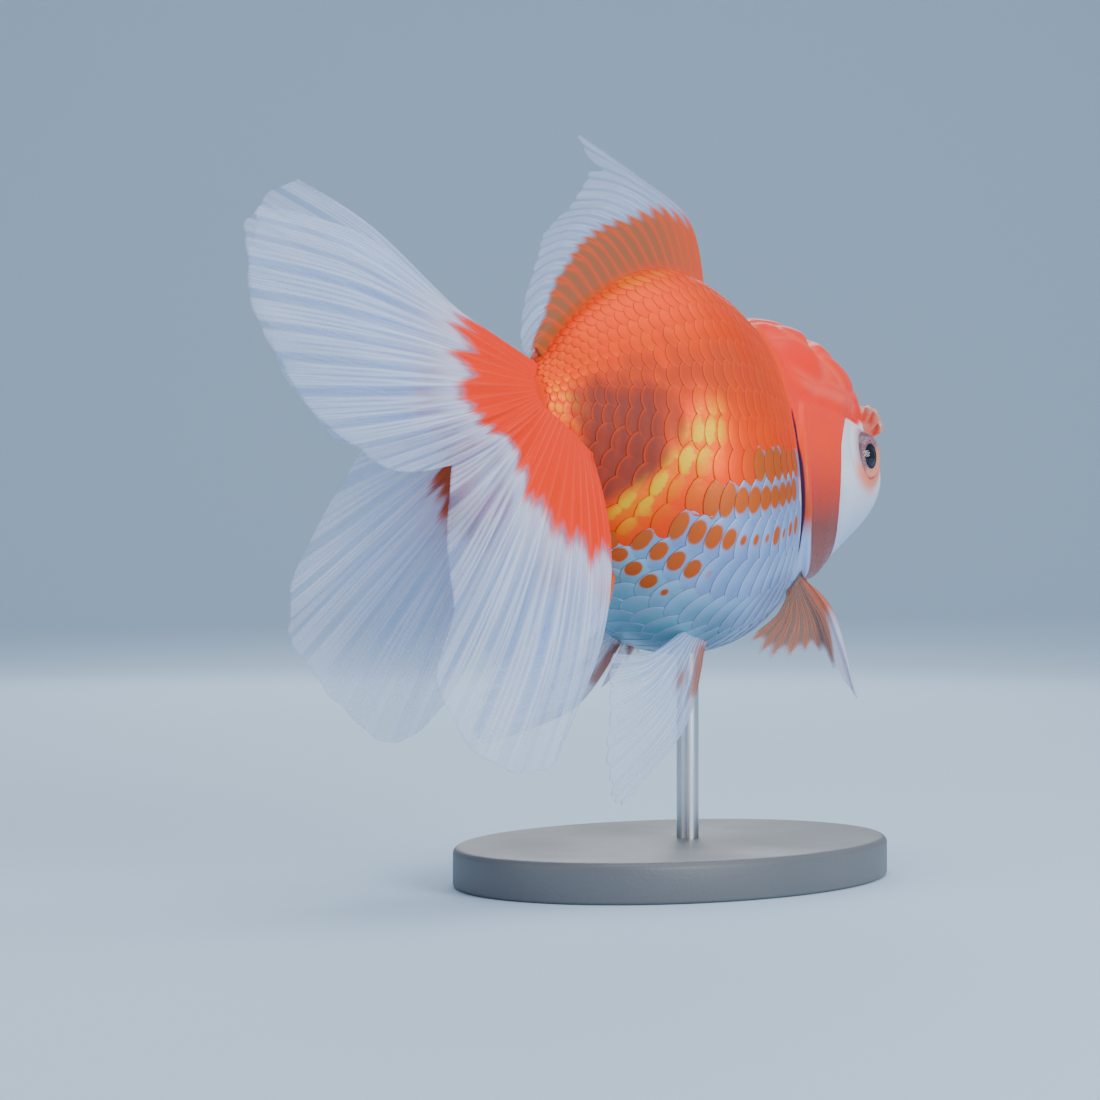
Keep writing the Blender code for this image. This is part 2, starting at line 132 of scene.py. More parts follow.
soft_box("key", (-0.16, -0.95, 0.24), distance=0.75, size=0.34, power=4.3)
soft_box("top", (0.10, -0.15, 1.0), distance=0.80, size=0.70, power=4.4)
soft_box("fill", (-0.95, 0.20, 0.25), distance=0.90, size=0.60, power=1.2)
soft_box("rim", (0.75, 0.70, 0.45), distance=0.90, size=0.50, power=2.4)
world = bpy.data.worlds.new("studio")
world.use_nodes = True
skylight = world.node_tree.nodes["Background"].inputs
skylight["Color"].default_value = (*SKYLIGHT, 1)
skylight["Strength"].default_value = SKYLIGHT_STRENGTH
bpy.context.scene.world = world

# ---------------------------------------------------------------- skin
# One soft skin covers the head with its hood of growth, the gill covers, the trunk and the tail
# stalk. It is bare and smooth on the head, and lies under the scales behind the gill openings.

# Sections of the body without fins or growth, from the snout to the end of the tail stalk: distance
# along x, height of top and bottom, half width, and how far the belly is wider than the back.
HULL = np.array(
    (
        (92.6, 14.2, 12.2, 1.0, 0.00),
        (92.0, 17.4, 9.6, 5.6, 0.00),
        (89.8, 22.2, 6.4, 10.5, 0.08),
        (85.4, 27.4, 2.5, 13.9, 0.12),
        (79.0, 31.4, -1.4, 15.9, 0.13),
        (71.5, 35.4, -6.0, 17.0, 0.13),
        (63.0, 39.2, -10.8, 17.5, 0.13),
        (55.0, 43.6, -15.6, 18.8, 0.16),
        (46.0, 48.0, -18.4, 22.2, 0.20),
        (36.0, 50.4, -18.4, 24.0, 0.19),
        (26.0, 48.4, -14.0, 21.8, 0.16),
        (17.0, 44.4, -5.8, 16.0, 0.14),
        (9.0, 39.4, 4.6, 10.2, 0.10),
        (3.0, 33.6, 13.2, 6.4, 0.04),
        (-0.6, 30.6, 17.0, 4.6, 0.00),
        (-2.2, 28.2, 19.8, 2.6, 0.00),
        (-2.6, 24.8, 23.2, 0.5, 0.00),
    )
)
COAT_DEPTH = 0.22  # the skin lies this far under the body's outline where scales cover it
GILL_BACK = (51.2, 12.0)  # the hindmost point of the gill opening, x and z
GILL_ARC_ABOVE, GILL_ARC_BELOW = 0.010, 0.012  # forward travel for each mm squared above and below
COVER_MIDDLE = (58.8, 11.0)
COVER_HALF = (7.0, 17.5)
COVER_RISE = 0.95
COVER_FRONT = (67.0, 9.0)  # the hindmost point of its front edge, x and z
SLIT_DEPTH = 1.5
GROWTH_FRONT, GROWTH_BACK = 86.6, 57.5
GROWTH_HALF_ANGLE = math.radians(53)
GROWTH_RISE = 5.7
HOOD_LENGTH, HOOD_DROP = 13.0, 19.0  # from brow to nape and from crown to hem, for laying out the lobes
LOBE_ROWS = (0.0, 0.34, 0.66, 0.98)  # share of the way from crown to hem
LOBES_IN_ROW, LOBES_PER_HOOD = 4, 2.4
LOBE_RADIUS = 8.0
CREASE_WIDTH, CREASE_DEPTH = 1.1, 0.40
FURROW_DEPTH = (0.5, 0.9)  # low on the side, and how much deeper on the crown
GILL_FRILL_DEPTH = 0.16
# The deepest fold of the growth: how far down from the crown, at 0, to the hem, at 1, and x there.
FURROW = ((0.0, 71.0), (0.33, 69.7), (0.47, 67.4), (0.60, 67.8), (0.70, 70.2), (0.80, 73.0), (0.89, 78.5))
EYE_CENTRE = (79.6, 12.8, 17.4)  # x, out from the middle plane, z
EYE_RADIUS = 4.9
SOCKET_DEPTH, ORBIT_RISE, ORBIT_GROOVE = 2.6, 0.42, 0.28
MOUTH_HEIGHT = 13.2
MOUTH_HALF = (3.9, 2.5)  # half width and half height of the ring of the lips
MOUTH_DEPTH, LIP_RISE, LIP_CREASE = 1.8, 0.9, 0.25
CHIN_FOLD = 0.5
SKIN_SEGMENTS = 320


def place(points):
    """Points of the fish's frame, in metres in the model's frame."""
    return (np.asarray(points, float) + TAIL_ROOT) * 0.001


def smooth_between(rows_at, count, t):
    """Points at t, from 0 to count - 1, on a smooth curve. Rows_at gives the rows of whole numbers."""
    i = np.clip(t.astype(int), 0, count - 2)
    f = (t - i)[..., None]
    a, b, c, d = (rows_at(np.clip(i + k, 0, count - 1)) for k in (-1, 0, 1, 2))
    return (
        a * (-f + 2 * f**2 - f**3) / 2
        + b * (2 - 5 * f**2 + 3 * f**3) / 2
        + c * (f + 4 * f**2 - 3 * f**3) / 2
        + d * (f**3 - f**2) / 2
    )


def through(rows, t):
    """Points at t, from 0 to len(rows) - 1, on a smooth curve through the rows."""
    return smooth_between(lambda i: rows[i], len(rows), np.asarray(t, float))


def hull(t, angle):
    """Points on section t of the body. Angle 0 is the left flank, 90 degrees the back."""
    t, angle = np.broadcast_arrays(t, angle)
    x, top, bottom, half_width, egg = np.moveaxis(through(HULL, t), -1, 0)
    sine = np.sin(angle)
    across = half_width * np.cos(angle) * (1 - egg * sine)
    return np.stack((x, across, (top + bottom) / 2 + (top - bottom) / 2 * sine), axis=-1)


def unit(vectors):
    return vectors / np.maximum(np.linalg.norm(vectors, axis=-1, keepdims=True), 1e-9)


def hull_normal(t, angle):
    step = 0.01
    along = hull(t + step, angle) - hull(t - step, angle)
    around = hull(t, angle + step) - hull(t, angle - step)
    return -unit(np.cross(around, along))


ROWS_T = np.linspace(0, len(HULL) - 1, 4001)
ROWS_X = through(HULL, ROWS_T)[:, 0]


def row_at(x):
    """The section t of the body whose plane is at x."""
    return np.interp(-np.asarray(x, float), -ROWS_X, ROWS_T)


def angle_at(t, z):
    """The angle on the left flank of section t at height z."""
    _, top, bottom, _, _ = np.moveaxis(through(HULL, t), -1, 0)
    return np.arcsin(np.clip((2 * z - top - bottom) / (top - bottom), -1, 1))


def from_back(angle):
    """How far an angle turns away from the back, on either side."""
    return np.abs((angle - math.pi / 2 + math.pi) % (2 * math.pi) - math.pi)


def gill_edge(z):
    """How far along the gill opening lies at height z."""
    x, middle = GILL_BACK
    return x + np.where(z > middle, GILL_ARC_ABOVE, GILL_ARC_BELOW) * (z - middle) ** 2


def rise(value, low, high):
    """0 below low, 1 above high and smooth between. Low may be above high."""
    f = np.clip((value - low) / (high - low), 0, 1)
    return f * f * (3 - 2 * f)


def bell(value, middle, width):
    return np.exp(-(((value - middle) / width) ** 2))


def ripple(seed, *axes):
    """Smooth noise between about -1 and 1, a sum of waves in directions drawn from the seed."""
    draw = np.random.default_rng(seed)
    total = 0.0
    for _ in range(8):
        wave = draw.uniform(0, 2 * math.pi)
        for axis in axes:
            wave = wave + draw.normal() * axis
        total = total + np.sin(wave)
    return total / 4


def lobes(p, q, side):
    """The hood's lobes: how near a crease is, and how domed each lobe. P runs from brow to nape, and q
    from the crown's middle line, at 0, down the side, at 1."""
    draw = np.random.default_rng(11)
    warp_p = p * HOOD_LENGTH + 0.8 * ripple(3, p * 5, q * 3, side * 0.7)
    warp_q = q * HOOD_DROP + 1.3 * ripple(5, p * 5, q * 3, side * 0.9)
    first = np.full(p.shape, np.inf)  # how far the nearest lobe's middle lies, and the next one's
    second = np.full(p.shape, np.inf)
    for row, row_q in enumerate(LOBE_ROWS):
        for column in range(LOBES_IN_ROW):
            middle_p = (column + row % 2 / 2) / LOBES_PER_HOOD + draw.uniform(-0.06, 0.06)
            middle_q = row_q + draw.uniform(-0.04, 0.04)
            far = np.hypot(warp_p - middle_p * HOOD_LENGTH, warp_q - middle_q * HOOD_DROP)
            nearer = far < first
            second = np.where(nearer, first, np.minimum(second, far))
            first = np.where(nearer, far, first)
    return bell(second - first, 0.0, CREASE_WIDTH), 1 - (first / LOBE_RADIUS) ** 2


def cover_edge(z):
    """How far along the front edge of the gill cover lies at height z."""
    x, middle = COVER_FRONT
    sweep = np.where(z > middle, 0.018, 0.030)
    return x + sweep * (z - middle) ** 2 + 0.07 * np.maximum(z - 18.0, 0.0) ** 2


def add_hood(height, t, angle):
    """The hood: lobes parted by creases, one deep furrow, and a hem down the side."""
    at = hull(t, angle)
    x, side, behind = at[..., 0], np.sign(at[..., 1]), gill_edge(at[..., 2]) - at[..., 0]
    p = (t - row_at(GROWTH_FRONT)) / (row_at(GROWTH_BACK) - row_at(GROWTH_FRONT))
    q = from_back(angle) / (GROWTH_HALF_ANGLE * (1 + 0.13 * rise(x, 82.0, 71.0)))
    crease, dome = lobes(p, q, side)
    hood = (1 - np.abs(np.clip(2 * p - 1, -1, 1)) ** 3) * (1 - np.clip(q, 0, 1) ** 4)
    growth = rise(hood, 0.0, 0.28)
    height = height + GROWTH_RISE * hood * (0.86 + 0.16 * dome) - CREASE_DEPTH * crease * growth
    furrow = bell(x, np.interp(q, *np.array(FURROW).T), 1.25)
    height = height - (FURROW_DEPTH[0] + FURROW_DEPTH[1] * rise(q, 0.75, 0.45)) * furrow * growth
    hem = bell(q, 0.90, 0.045) * rise(x, 77.0, 71.0)
    fold = np.maximum(0.7 * crease, np.maximum(furrow, hem)) * growth
    crown = np.minimum(1.0, growth * 1.4) * rise(behind, 0.6, -0.6)
    nape = rise(q, 1.08, 0.97) * rise(x, 86.0, 80.0)
    return height, growth, {"growth": np.maximum(crown, nape) * rise(behind, 0.6, -0.6), "fold": fold}


def add_gill_cover(height, growth, x, z):
    """The gill cover: a raised plate with a frill at its hind edge, then the slit of the opening. Its
    masks are its red, the paler strip along its hind edge, the white below that, and painted
    shadow in the slit."""
    behind = gill_edge(z) - x
    along = x - COVER_MIDDLE[0] - (gill_edge(z) - GILL_BACK[0])
    up = np.clip((z - COVER_MIDDLE[1]) / COVER_HALF[1], -1, 1)
    reach = COVER_HALF[0] * np.sqrt(np.maximum(1 - np.abs(up) ** 3, 0.0))
    before_edge = cover_edge(z) - x
    front = 0.45 * rise(before_edge, -0.25, 0.45) + 0.55 * rise(before_edge, -0.25, 6.0)
    back = rise(along, -reach - 0.2, -reach + 0.5)
    ends = rise(np.abs(up), 1.0, 0.82)
    height = height + front * back * ends * COVER_RISE * (1 - 0.6 * growth)
    height = height - GILL_FRILL_DEPTH * bell(along + reach, 2.3, 0.35) * ends * rise(z, 26.0, 20.0)
    slit = bell(behind, -0.05, 0.55) * rise(z, 29.0, 20.0) * rise(z, -10.0, 0.0)
    height = height - SLIT_DEPTH * slit
    shadow = rise(behind, -0.82, -0.60) * rise(behind, 0.8, 0.3)
    below = 0.42 * np.maximum(3.5 - z, 0.0)
    return height, {
        "red": rise(before_edge, -0.22, 0.22) * rise(z, -9.5, -7.0),
        "strip": rise(-behind, 3.1, 2.3) * rise(z, 28.0, 20.0),
        "pale": rise(-behind - below, 2.9, 1.7) * rise(z, 6.5, 1.5),
        # Painted shadow in the slit of the gill opening.
        "slit": shadow * rise(z, 28.5, 22.0) * rise(z, -4.5, 0.5),
    }


def add_eye_socket(height, x, out, z):
    """The socket, the ring of skin round it, and a groove outside that."""
    from_eye = np.hypot(x - EYE_CENTRE[0], z - EYE_CENTRE[2])
    beside_eye = rise(out, 8.0, 11.0)
    socket = rise(from_eye, 4.4, 3.7) * beside_eye
    orbit = bell(from_eye, 4.75, 0.55) * beside_eye
    height = height * (1 - socket) - SOCKET_DEPTH * socket + ORBIT_RISE * orbit
    height = height - ORBIT_GROOVE * bell(from_eye, 6.6, 0.9) * beside_eye
    below_eye = rise(z, EYE_CENTRE[2] + 1.0, EYE_CENTRE[2] - 3.5)
    return height, socket, {
        "orbit": rise(from_eye, 6.0, 4.6) * beside_eye,
        "below_eye": bell(from_eye, 5.2, 1.6) * beside_eye * below_eye,
    }


def add_mouth(height, x, out, z):
    """The mouth, turned down at its corners inside full lips, and the folds under the chin."""
    before = rise(x, 87.0, 90.0)
    droop = 0.07 * out**2
    from_mouth = np.hypot(out / MOUTH_HALF[0], (z - MOUTH_HEIGHT + droop) / MOUTH_HALF[1])
    lips = bell(from_mouth, 1.0, 0.30) * before
    mouth = rise(from_mouth, 0.70, 0.35) * before
    height = height + LIP_RISE * lips - MOUTH_DEPTH * mouth
    height = height - LIP_CREASE * bell(from_mouth, 1.75, 0.22) * before
    chin = rise(x, 84.0, 72.0) * rise(x, 50.0, 60.0) * rise(out, 9.0, 4.0) * (z < 0)
    return height - CHIN_FOLD * chin * bell(out, 4.6, 0.7), mouth, {"lips": lips}


def skin_relief(t, angle):
    """How far the skin stands off the body's outline, and masks for its markings and its painted shade."""
    at = hull(t, angle)
    x, out, z = at[..., 0], np.abs(at[..., 1]), at[..., 2]
    behind = gill_edge(z) - x
    coat = rise(behind, -0.3, 0.9)
    height, growth, of_hood = add_hood(-COAT_DEPTH * coat, t, angle)
    height, of_cover = add_gill_cover(height, growth, x, z)
    height, socket, of_eye = add_eye_socket(height, x, out, z)
    height, mouth, of_mouth = add_mouth(height, x, out, z)
    of_body = {
        # Painted shade in the hollows of the eye socket and the mouth.
        "socket": np.maximum(socket, mouth),
        "scaled": coat,
        "trunk": rise(behind, -2.0, -1.0),
        # Painted shade: the white gets bluer and the cover browner towards the bottom.
        "shade_below": rise(z, 22.0, -8.0),
        "mark": markings(x, girth_share(t, angle)),
    }
    return height, {**of_hood, **of_cover, **of_eye, **of_mouth, **of_body}


# The share of the way round from back to belly that is orange all over at x, and where the spots end.
ORANGE_REACH = (
    (-3.0, 1.30, 1.60),
    (8.0, 1.00, 1.20),
    (13.0, 0.86, 1.04),
    (18.0, 0.71, 0.94),
    (21.0, 0.62, 0.90),
    (24.0, 0.56, 0.83),
    (27.0, 0.53, 0.77),
    (30.0, 0.51, 0.70),
    (34.0, 0.49, 0.67),
    (38.0, 0.47, 0.65),
    (44.0, 0.46, 0.63),
    (54.0, 0.46, 0.60),
)


def girth_table():
    """Shares of the half girth for turns away from the back, one row for each section."""
    sections = np.linspace(0, len(HULL) - 1, 321)
    turns = np.linspace(0, math.pi, 181)
    points = hull(sections[:, None], math.pi / 2 - turns[None, :])
    steps = np.linalg.norm(np.diff(points, axis=1), axis=-1)
    lengths = np.concatenate((np.zeros((len(sections), 1)), np.cumsum(steps, axis=1)), axis=1)
    return sections, turns, lengths


SECTIONS, TURNS, LENGTHS = girth_table()


def girth_share(t, angle):
    """How far round from the back, at 0, to the belly, at 1, a point of section t lies."""
    turn = from_back(angle)
    row = np.clip(t / SECTIONS[-1] * (len(SECTIONS) - 1), 0, len(SECTIONS) - 1.001)
    column = np.clip(turn / math.pi * (len(TURNS) - 1), 0, len(TURNS) - 1.001)
    i, j = row.astype(int), column.astype(int)
    f, g = row - i, column - j
    share = LENGTHS / LENGTHS[:, -1:]
    return (
        share[i, j] * (1 - f) * (1 - g)
        + share[i + 1, j] * f * (1 - g)
        + share[i, j + 1] * (1 - f) * g
        + share[i + 1, j + 1] * f * g
    )


def markings(x, share):
    """1 and more where the body is orange all over, 0 where it is white, and spotted between."""
    xs, solid, spotted = np.array(ORANGE_REACH).T
    end = np.interp(x, xs, spotted)
    return (end - share) / (end - np.interp(x, xs, solid))


def new_object(name, points, faces, finish=None):
    """A mesh object from points of the fish's frame, with its faces turned outwards."""
    mesh = bpy.data.meshes.new(name)
    mesh.from_pydata(place(points).tolist(), [], [tuple(map(int, f)) for f in faces])
    bm = bmesh.new()
    bm.from_mesh(mesh)
    bmesh.ops.recalc_face_normals(bm, faces=bm.faces)
    bm.to_mesh(mesh)
    bm.free()
    if finish:
        mesh.materials.append(finish)
    mesh.shade_smooth()
    return linked(name, mesh)


def set_masks(obj, masks):
    """Values for each point of a mesh, which its material reads by name."""
    for name, values in masks.items():
        layer = obj.data.attributes.new(name, "FLOAT", "POINT")
        layer.data.foreach_set("value", np.asarray(values, np.float32).ravel())


def set_vectors(obj, vectors):
    """The same for values of three numbers."""
    for name, values in vectors.items():
        layer = obj.data.attributes.new(name, "FLOAT_VECTOR", "POINT")
        layer.data.foreach_set("vector", np.asarray(values, np.float32).ravel())


def ring_faces(rings, segments):
    """Quads between closed rings of points."""
    r, s = np.meshgrid(np.arange(rings - 1), np.arange(segments), indexing="ij")
    n = (s + 1) % segments
    return np.stack(
        (r * segments + s, r * segments + n, (r + 1) * segments + n, (r + 1) * segments + s), axis=-1
    ).reshape(-1, 4)


def closed_faces(rings, segments):
    """The same, closed by fans to one point at each end, which follow the rings."""
    faces = ring_faces(rings, segments).tolist()
    first_end, last_end = rings * segments, rings * segments + 1
    last = (rings - 1) * segments
    for s in range(segments):
        n = (s + 1) % segments
        faces += [(first_end, n, s), (last_end, last + s, last + n)]
    return faces


def skin_grid():
    """Sections and angles of the skin's points. Near the gills its rings lean along the opening."""
    stretches = (
        (92.59, 91.9, 0.023),
        (91.9, 88.0, 0.29),
        (88.0, 69.0, 0.40),
        (69.0, 51.0, 0.26),
        (51.0, 4.0, 0.85),
        (4.0, -2.1, 0.50),
        (-2.1, -2.58, 0.12),
    )
    x = np.concatenate([np.arange(start, end, -pitch) for start, end, pitch in stretches])
    angles = 2 * math.pi * np.arange(SKIN_SEGMENTS) / SKIN_SEGMENTS
    x, angle = np.meshgrid(x, angles, indexing="ij")
    z = hull(row_at(x), angle)[..., 2]
    lean = rise(x, 84.0, 66.0) * rise(x, 34.0, 50.0)
    return row_at(x + lean * (gill_edge(z) - GILL_BACK[0])), angle


def make_skin(finish):
    t, angle = skin_grid()
    height, masks = skin_relief(t, angle)
    points = hull(t, angle) + hull_normal(t, angle) * height[..., None]
    ends = np.array((points[0].mean(axis=0), points[-1].mean(axis=0)))
    points = np.concatenate((points.reshape(-1, 3), ends))
    made = new_object("skin", points, closed_faces(*t.shape), finish)
    set_masks(
        made, {k: np.concatenate((v.ravel(), (v[0].mean(), v[-1].mean()))) for k, v in masks.items()}
    )
    return made


class Nodes:
    """Adds shader nodes to a tree, each linked as it is made."""

    def __init__(self, tree):
        self.tree = tree

    def put(self, kind, values=None, **settings):
        node = self.tree.nodes.new(kind)
        for name, value in settings.items():
            setattr(node, name, value)
        for socket, value in (values or {}).items():
            self.feed(node.inputs[socket], value)
        return node

    def feed(self, socket, value):
        if isinstance(value, bpy.types.NodeSocket):
            self.tree.links.new(value, socket)
        else:
            socket.default_value = value

    def math(self, operation, a, b=0.0, clamp=False):
        return self.put("ShaderNodeMath", {0: a, 1: b}, operation=operation, use_clamp=clamp).outputs[0]

    def times(self, a, b, clamp=False):
        return self.math("MULTIPLY", a, b, clamp)

    def plus(self, a, b):
        return self.math("ADD", a, b)

    def minus(self, a, b, clamp=False):
        return self.math("SUBTRACT", a, b, clamp)

    def length(self, x, y):
        return self.math("SQRT", self.plus(self.math("POWER", x, 2.0), self.math("POWER", y, 2.0)))

    def span(self, value, low, high, out_low=0.0, out_high=1.0):
        """Value stretched from low..high to out_low..out_high, smoothly and clamped."""
        node = self.put(
            "ShaderNodeMapRange",
            {0: value, 1: low, 2: high, 3: out_low, 4: out_high},
            interpolation_type="SMOOTHSTEP",
        )
        return node.outputs[0]

    def mix(self, share, a, b, kind="MIX"):
        node = self.put("ShaderNodeMix", data_type="RGBA", blend_type=kind)
        self.feed(node.inputs[0], share)
        for socket, value in ((6, a), (7, b)):
            self.feed(node.inputs[socket], (*value, 1) if isinstance(value, tuple) else value)
        return node.outputs[2]

    def read(self, name, kind="Fac"):
        return self.put("ShaderNodeAttribute", attribute_name=name).outputs[kind]

    def place(self):
        return self.put("ShaderNodeTexCoord").outputs["Object"]

    def noise(self, scale, detail=2.0, vector=None, roughness=0.5):
        node = self.put(
            "ShaderNodeTexNoise",
            {"Scale": scale, "Detail": detail, "Roughness": roughness, "Vector": vector or self.place()},
        )
        return node.outputs["Fac"]

    def bump(self, shader, height, strength, distance):
        node = self.put(
            "ShaderNodeBump", {"Height": height, "Strength": strength, "Distance": distance}
        )
        self.feed(shader.inputs["Normal"], node.outputs[0])


def new_finish(name, plain=None):
    made, shader = plain_finish(name, plain or {})
    return made, Nodes(made.node_tree), shader


def new_tree(name, kind, given, made):
    """A node tree, its builder, its inputs, its outputs and each input's identifier. Given and made
    name the kind of socket of each input and output."""
    tree = bpy.data.node_groups.new(name, kind)
    for way, sockets in (("INPUT", given), ("OUTPUT", made)):
        for label, socket in sockets.items():
            tree.interface.new_socket(name=label, in_out=way, socket_type="NodeSocket" + socket)
    add = Nodes(tree)
    inputs = add.put("NodeGroupInput").outputs
    identifiers = {socket.name: socket.identifier for socket in inputs}
    return tree, add, inputs, add.put("NodeGroupOutput").inputs, identifiers


# Colours of the skin, and of the scales that continue its markings.
ORANGE = (1.0, 0.060, 0.001)
ORANGE_PALE = (1.0, 0.105, 0.006)
# A pearly white, painted darker and bluer as in shade.
SHADED_PEARL = (0.19, 0.29, 0.57)
HOOD_RED = (1.0, 0.020, 0.012)
HOOD_PALE = (1.0, 0.17, 0.12)
HOOD_ORANGE = (1.0, 0.050, 0.016)
COVER_RED = (1.0, 0.036, 0.020)
COVER_ORANGE = (1.0, 0.075, 0.012)
# Painted shade for the lower part of the gill cover.
COVER_SHADED = (0.22, 0.058, 0.048)
WHITE = (0.80, 0.82, 0.87)
# Painted shade: the white of the lower head and body, darker and bluer.
SHADED_WHITE = (0.32, 0.46, 0.76)
ORBIT_MAUVE = (0.36, 0.19, 0.24)
BELOW_EYE_PINK = (0.95, 0.22, 0.10)
LIP_PINK = (0.85, 0.34, 0.27)
# Painted shadow in the gill slit.
SLIT_SHADOW = (0.035, 0.010, 0.05)
# Painted shade in the hollows of the eye socket and the mouth.
RECESS_SHADE = (0.10, 0.03, 0.03)


def wet_group():
    """The mottling and fine grain of wet skin: a tint, a roughness and a height."""
    tree, add, given, out, _ = new_tree(
        "Wet grain",
        "ShaderNodeTree",
        {"Vector": "Vector", "Grain size": "Float"},
        {"Mottle": "Float", "Roughness": "Float", "Height": "Float"},
    )
    mottle = add.noise(110.0, 4.0, given["Vector"])
    fine = add.noise(given["Grain size"], 2.0, given["Vector"])
    add.feed(out["Mottle"], add.span(mottle, 0.3, 0.7))
    add.feed(out["Roughness"], add.span(fine, 0.3, 0.7, 0.30, 0.44))
    add.feed(out["Height"], fine)
    return tree


WET = wet_group()


def wet(add, grain_size):
    """The wet grain in a piece's own finish."""
    values = {"Vector": add.place(), "Grain size": grain_size}
    return add.put("ShaderNodeGroup", values, node_tree=WET).outputs


def skin_finish():
    finish, add, shader = new_finish(
        "skin",
        {
            "Specular IOR Level": 0.14,
            "Subsurface Weight": 0.10,
            "Subsurface Radius": (0.003, 0.001, 0.0006),
            "Coat Weight": 0.03,
            "Coat Roughness": 0.15,
        },
    )
    grain = wet(add, 1700.0)
    mottle = grain["Mottle"]

    def share(name, amount):
        return add.times(add.read(name), amount, clamp=True)

    def painted(colour, *layers):
        """The colour under layers, each given by its mask's name, how strong it is, and its colour."""
        for name, amount, paint in layers:
            colour = add.mix(share(name, amount), colour, paint)
        return colour

    # Painted shade: the white turns darker and bluer low on the head and body.
    white = painted(WHITE, ("shade_below", 1.0, SHADED_WHITE))
    white = add.mix(add.times(mottle, 0.25), white, SHADED_PEARL)
    marked = add.times(add.minus(add.read("mark"), 0.4, clamp=True), 2.0, clamp=True)
    colour = add.mix(add.times(marked, add.read("trunk")), white, ORANGE)
    cover = add.mix(add.times(mottle, 0.5), COVER_RED, COVER_ORANGE)
    # Painted shade darkens the cover towards the bottom.
    cover = painted(
        cover, ("shade_below", 1.6, COVER_SHADED), ("strip", 0.35, ORANGE_PALE), ("pale", 1.0, SHADED_WHITE)
    )
    red = add.times(add.read("red"), add.minus(1.0, add.read("scaled")))
    colour = add.mix(red, colour, cover)
    hood = add.mix(mottle, HOOD_RED, HOOD_ORANGE)
    hood = painted(hood, ("fold", 0.5, HOOD_PALE))
    colour = add.mix(add.span(add.read("growth"), 0.2, 0.75), colour, hood)
    colour = painted(
        colour,
        ("orbit", 0.80, ORBIT_MAUVE),
        ("below_eye", 0.85, BELOW_EYE_PINK),
        ("lips", 0.75, LIP_PINK),
    )
    # Painted shadow in the gill slit.
    colour = add.mix(add.span(add.read("slit"), 0.3, 0.75), colour, SLIT_SHADOW)
    # Painted shade in the hollows of the eye socket and the mouth.
    colour = painted(colour, ("socket", 0.85, RECESS_SHADE))
    add.feed(shader.inputs["Base Color"], colour)
    add.feed(shader.inputs["Roughness"], grain["Roughness"])
    add.bump(shader, grain["Height"], 0.12, 0.0004)
    return finish


skin = make_skin(skin_finish())
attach(skin, "root")
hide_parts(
    "head", "head_growth", "gill_cover_right", "gill_cover_left", "trunk", "tail_stalk"
)

# ---------------------------------------------------------------- scales
# Thin bony plates in rows along the body, each tucked under the one in front and free at its hind
# edge. They are silvered underneath, so the orange ones shine like gold and the white ones like pearl.
# Their colour also holds painted light: golden glints along the flank, bright edges on the back,
# and painted shade in a brown patch above the glints and in the blue of the white ones.

# Share of the way round from back to belly of each row. The rows get wider apart towards the belly.
SCALE_ROWS = np.array(
    (0, 0.045, 0.09, 0.135, 0.18, 0.225, 0.272, 0.324, 0.382, 0.446, 0.514)
    + (0.585, 0.665, 0.7465, 0.8295, 0.914, 1.0)
)
SCALE_ROW_GAPS = np.gradient(SCALE_ROWS)
SCALE_ROW_BEND = 0.0032  # how much less that share gets for each mm towards the head, on the flank
SCALES_FROM, SCALES_TO = 61.0, -1.0  # where along x the rows start and end
SCALES_CLEAR = 3.3  # the first root of each row lies this far behind the gill opening
LAST_ROOT = 0.3  # and the last one no further back than this
# x, and how far apart the scales of a row are there.
SCALE_PITCH = ((-3.0, 1.5), (4.0, 1.8), (14.0, 2.4), (26.0, 2.8), (38.0, 2.7), (60.0, 2.3))
FINE_PITCH, FINE_ABOVE = 0.78, 0.48  # rows of the back, up to this share, have them closer by this
SCALE_LENGTH = 2.25  # in spacings along the row
SCALE_HEIGHT = 1.42  # in spacings between rows
SCALE_SPOKES, SCALE_RINGS = 22, (0.45, 0.8, 0.94, 1.0)
BED_RINGS, BED_SEGMENTS = 150, 180
SCALE_THICKNESS = 0.045
SCALE_LIFT = 0.12  # how far the free edge stands above the skin
SCALE_SINK = 0.05  # how far the hidden edge lies under it
MAP_PATCH = 0.003  # each scale's place on the map that the finish is baked to
# Painted highlight: yellow glints along the flank and the orange round them.
GOLD_GLINT = (0.86, 0.50, 0.002)
GOLD_GLINT_EDGE = (1.0, 0.17, 0.002)
# Painted highlight on the free edges of the back's scales.
LIT_EDGE = (1.0, 0.20, 0.05)
# Painted shade on the rear flank.
SHADE_BROWN = (0.27, 0.050, 0.034)
SPOT = (0.50, 0.125, 0.028)
PEARL_GREEN = (0.16, 0.52, 0.63)
PEARL_BRIGHT = (0.45, 0.60, 0.88)


def bent(share, x):
    """How far round from back to belly a row of scales with a share runs at x."""
    return share - SCALE_ROW_BEND * (x - 28.0) * rise(share, 0.30, 0.65) * rise(share, 1.0, 0.85)


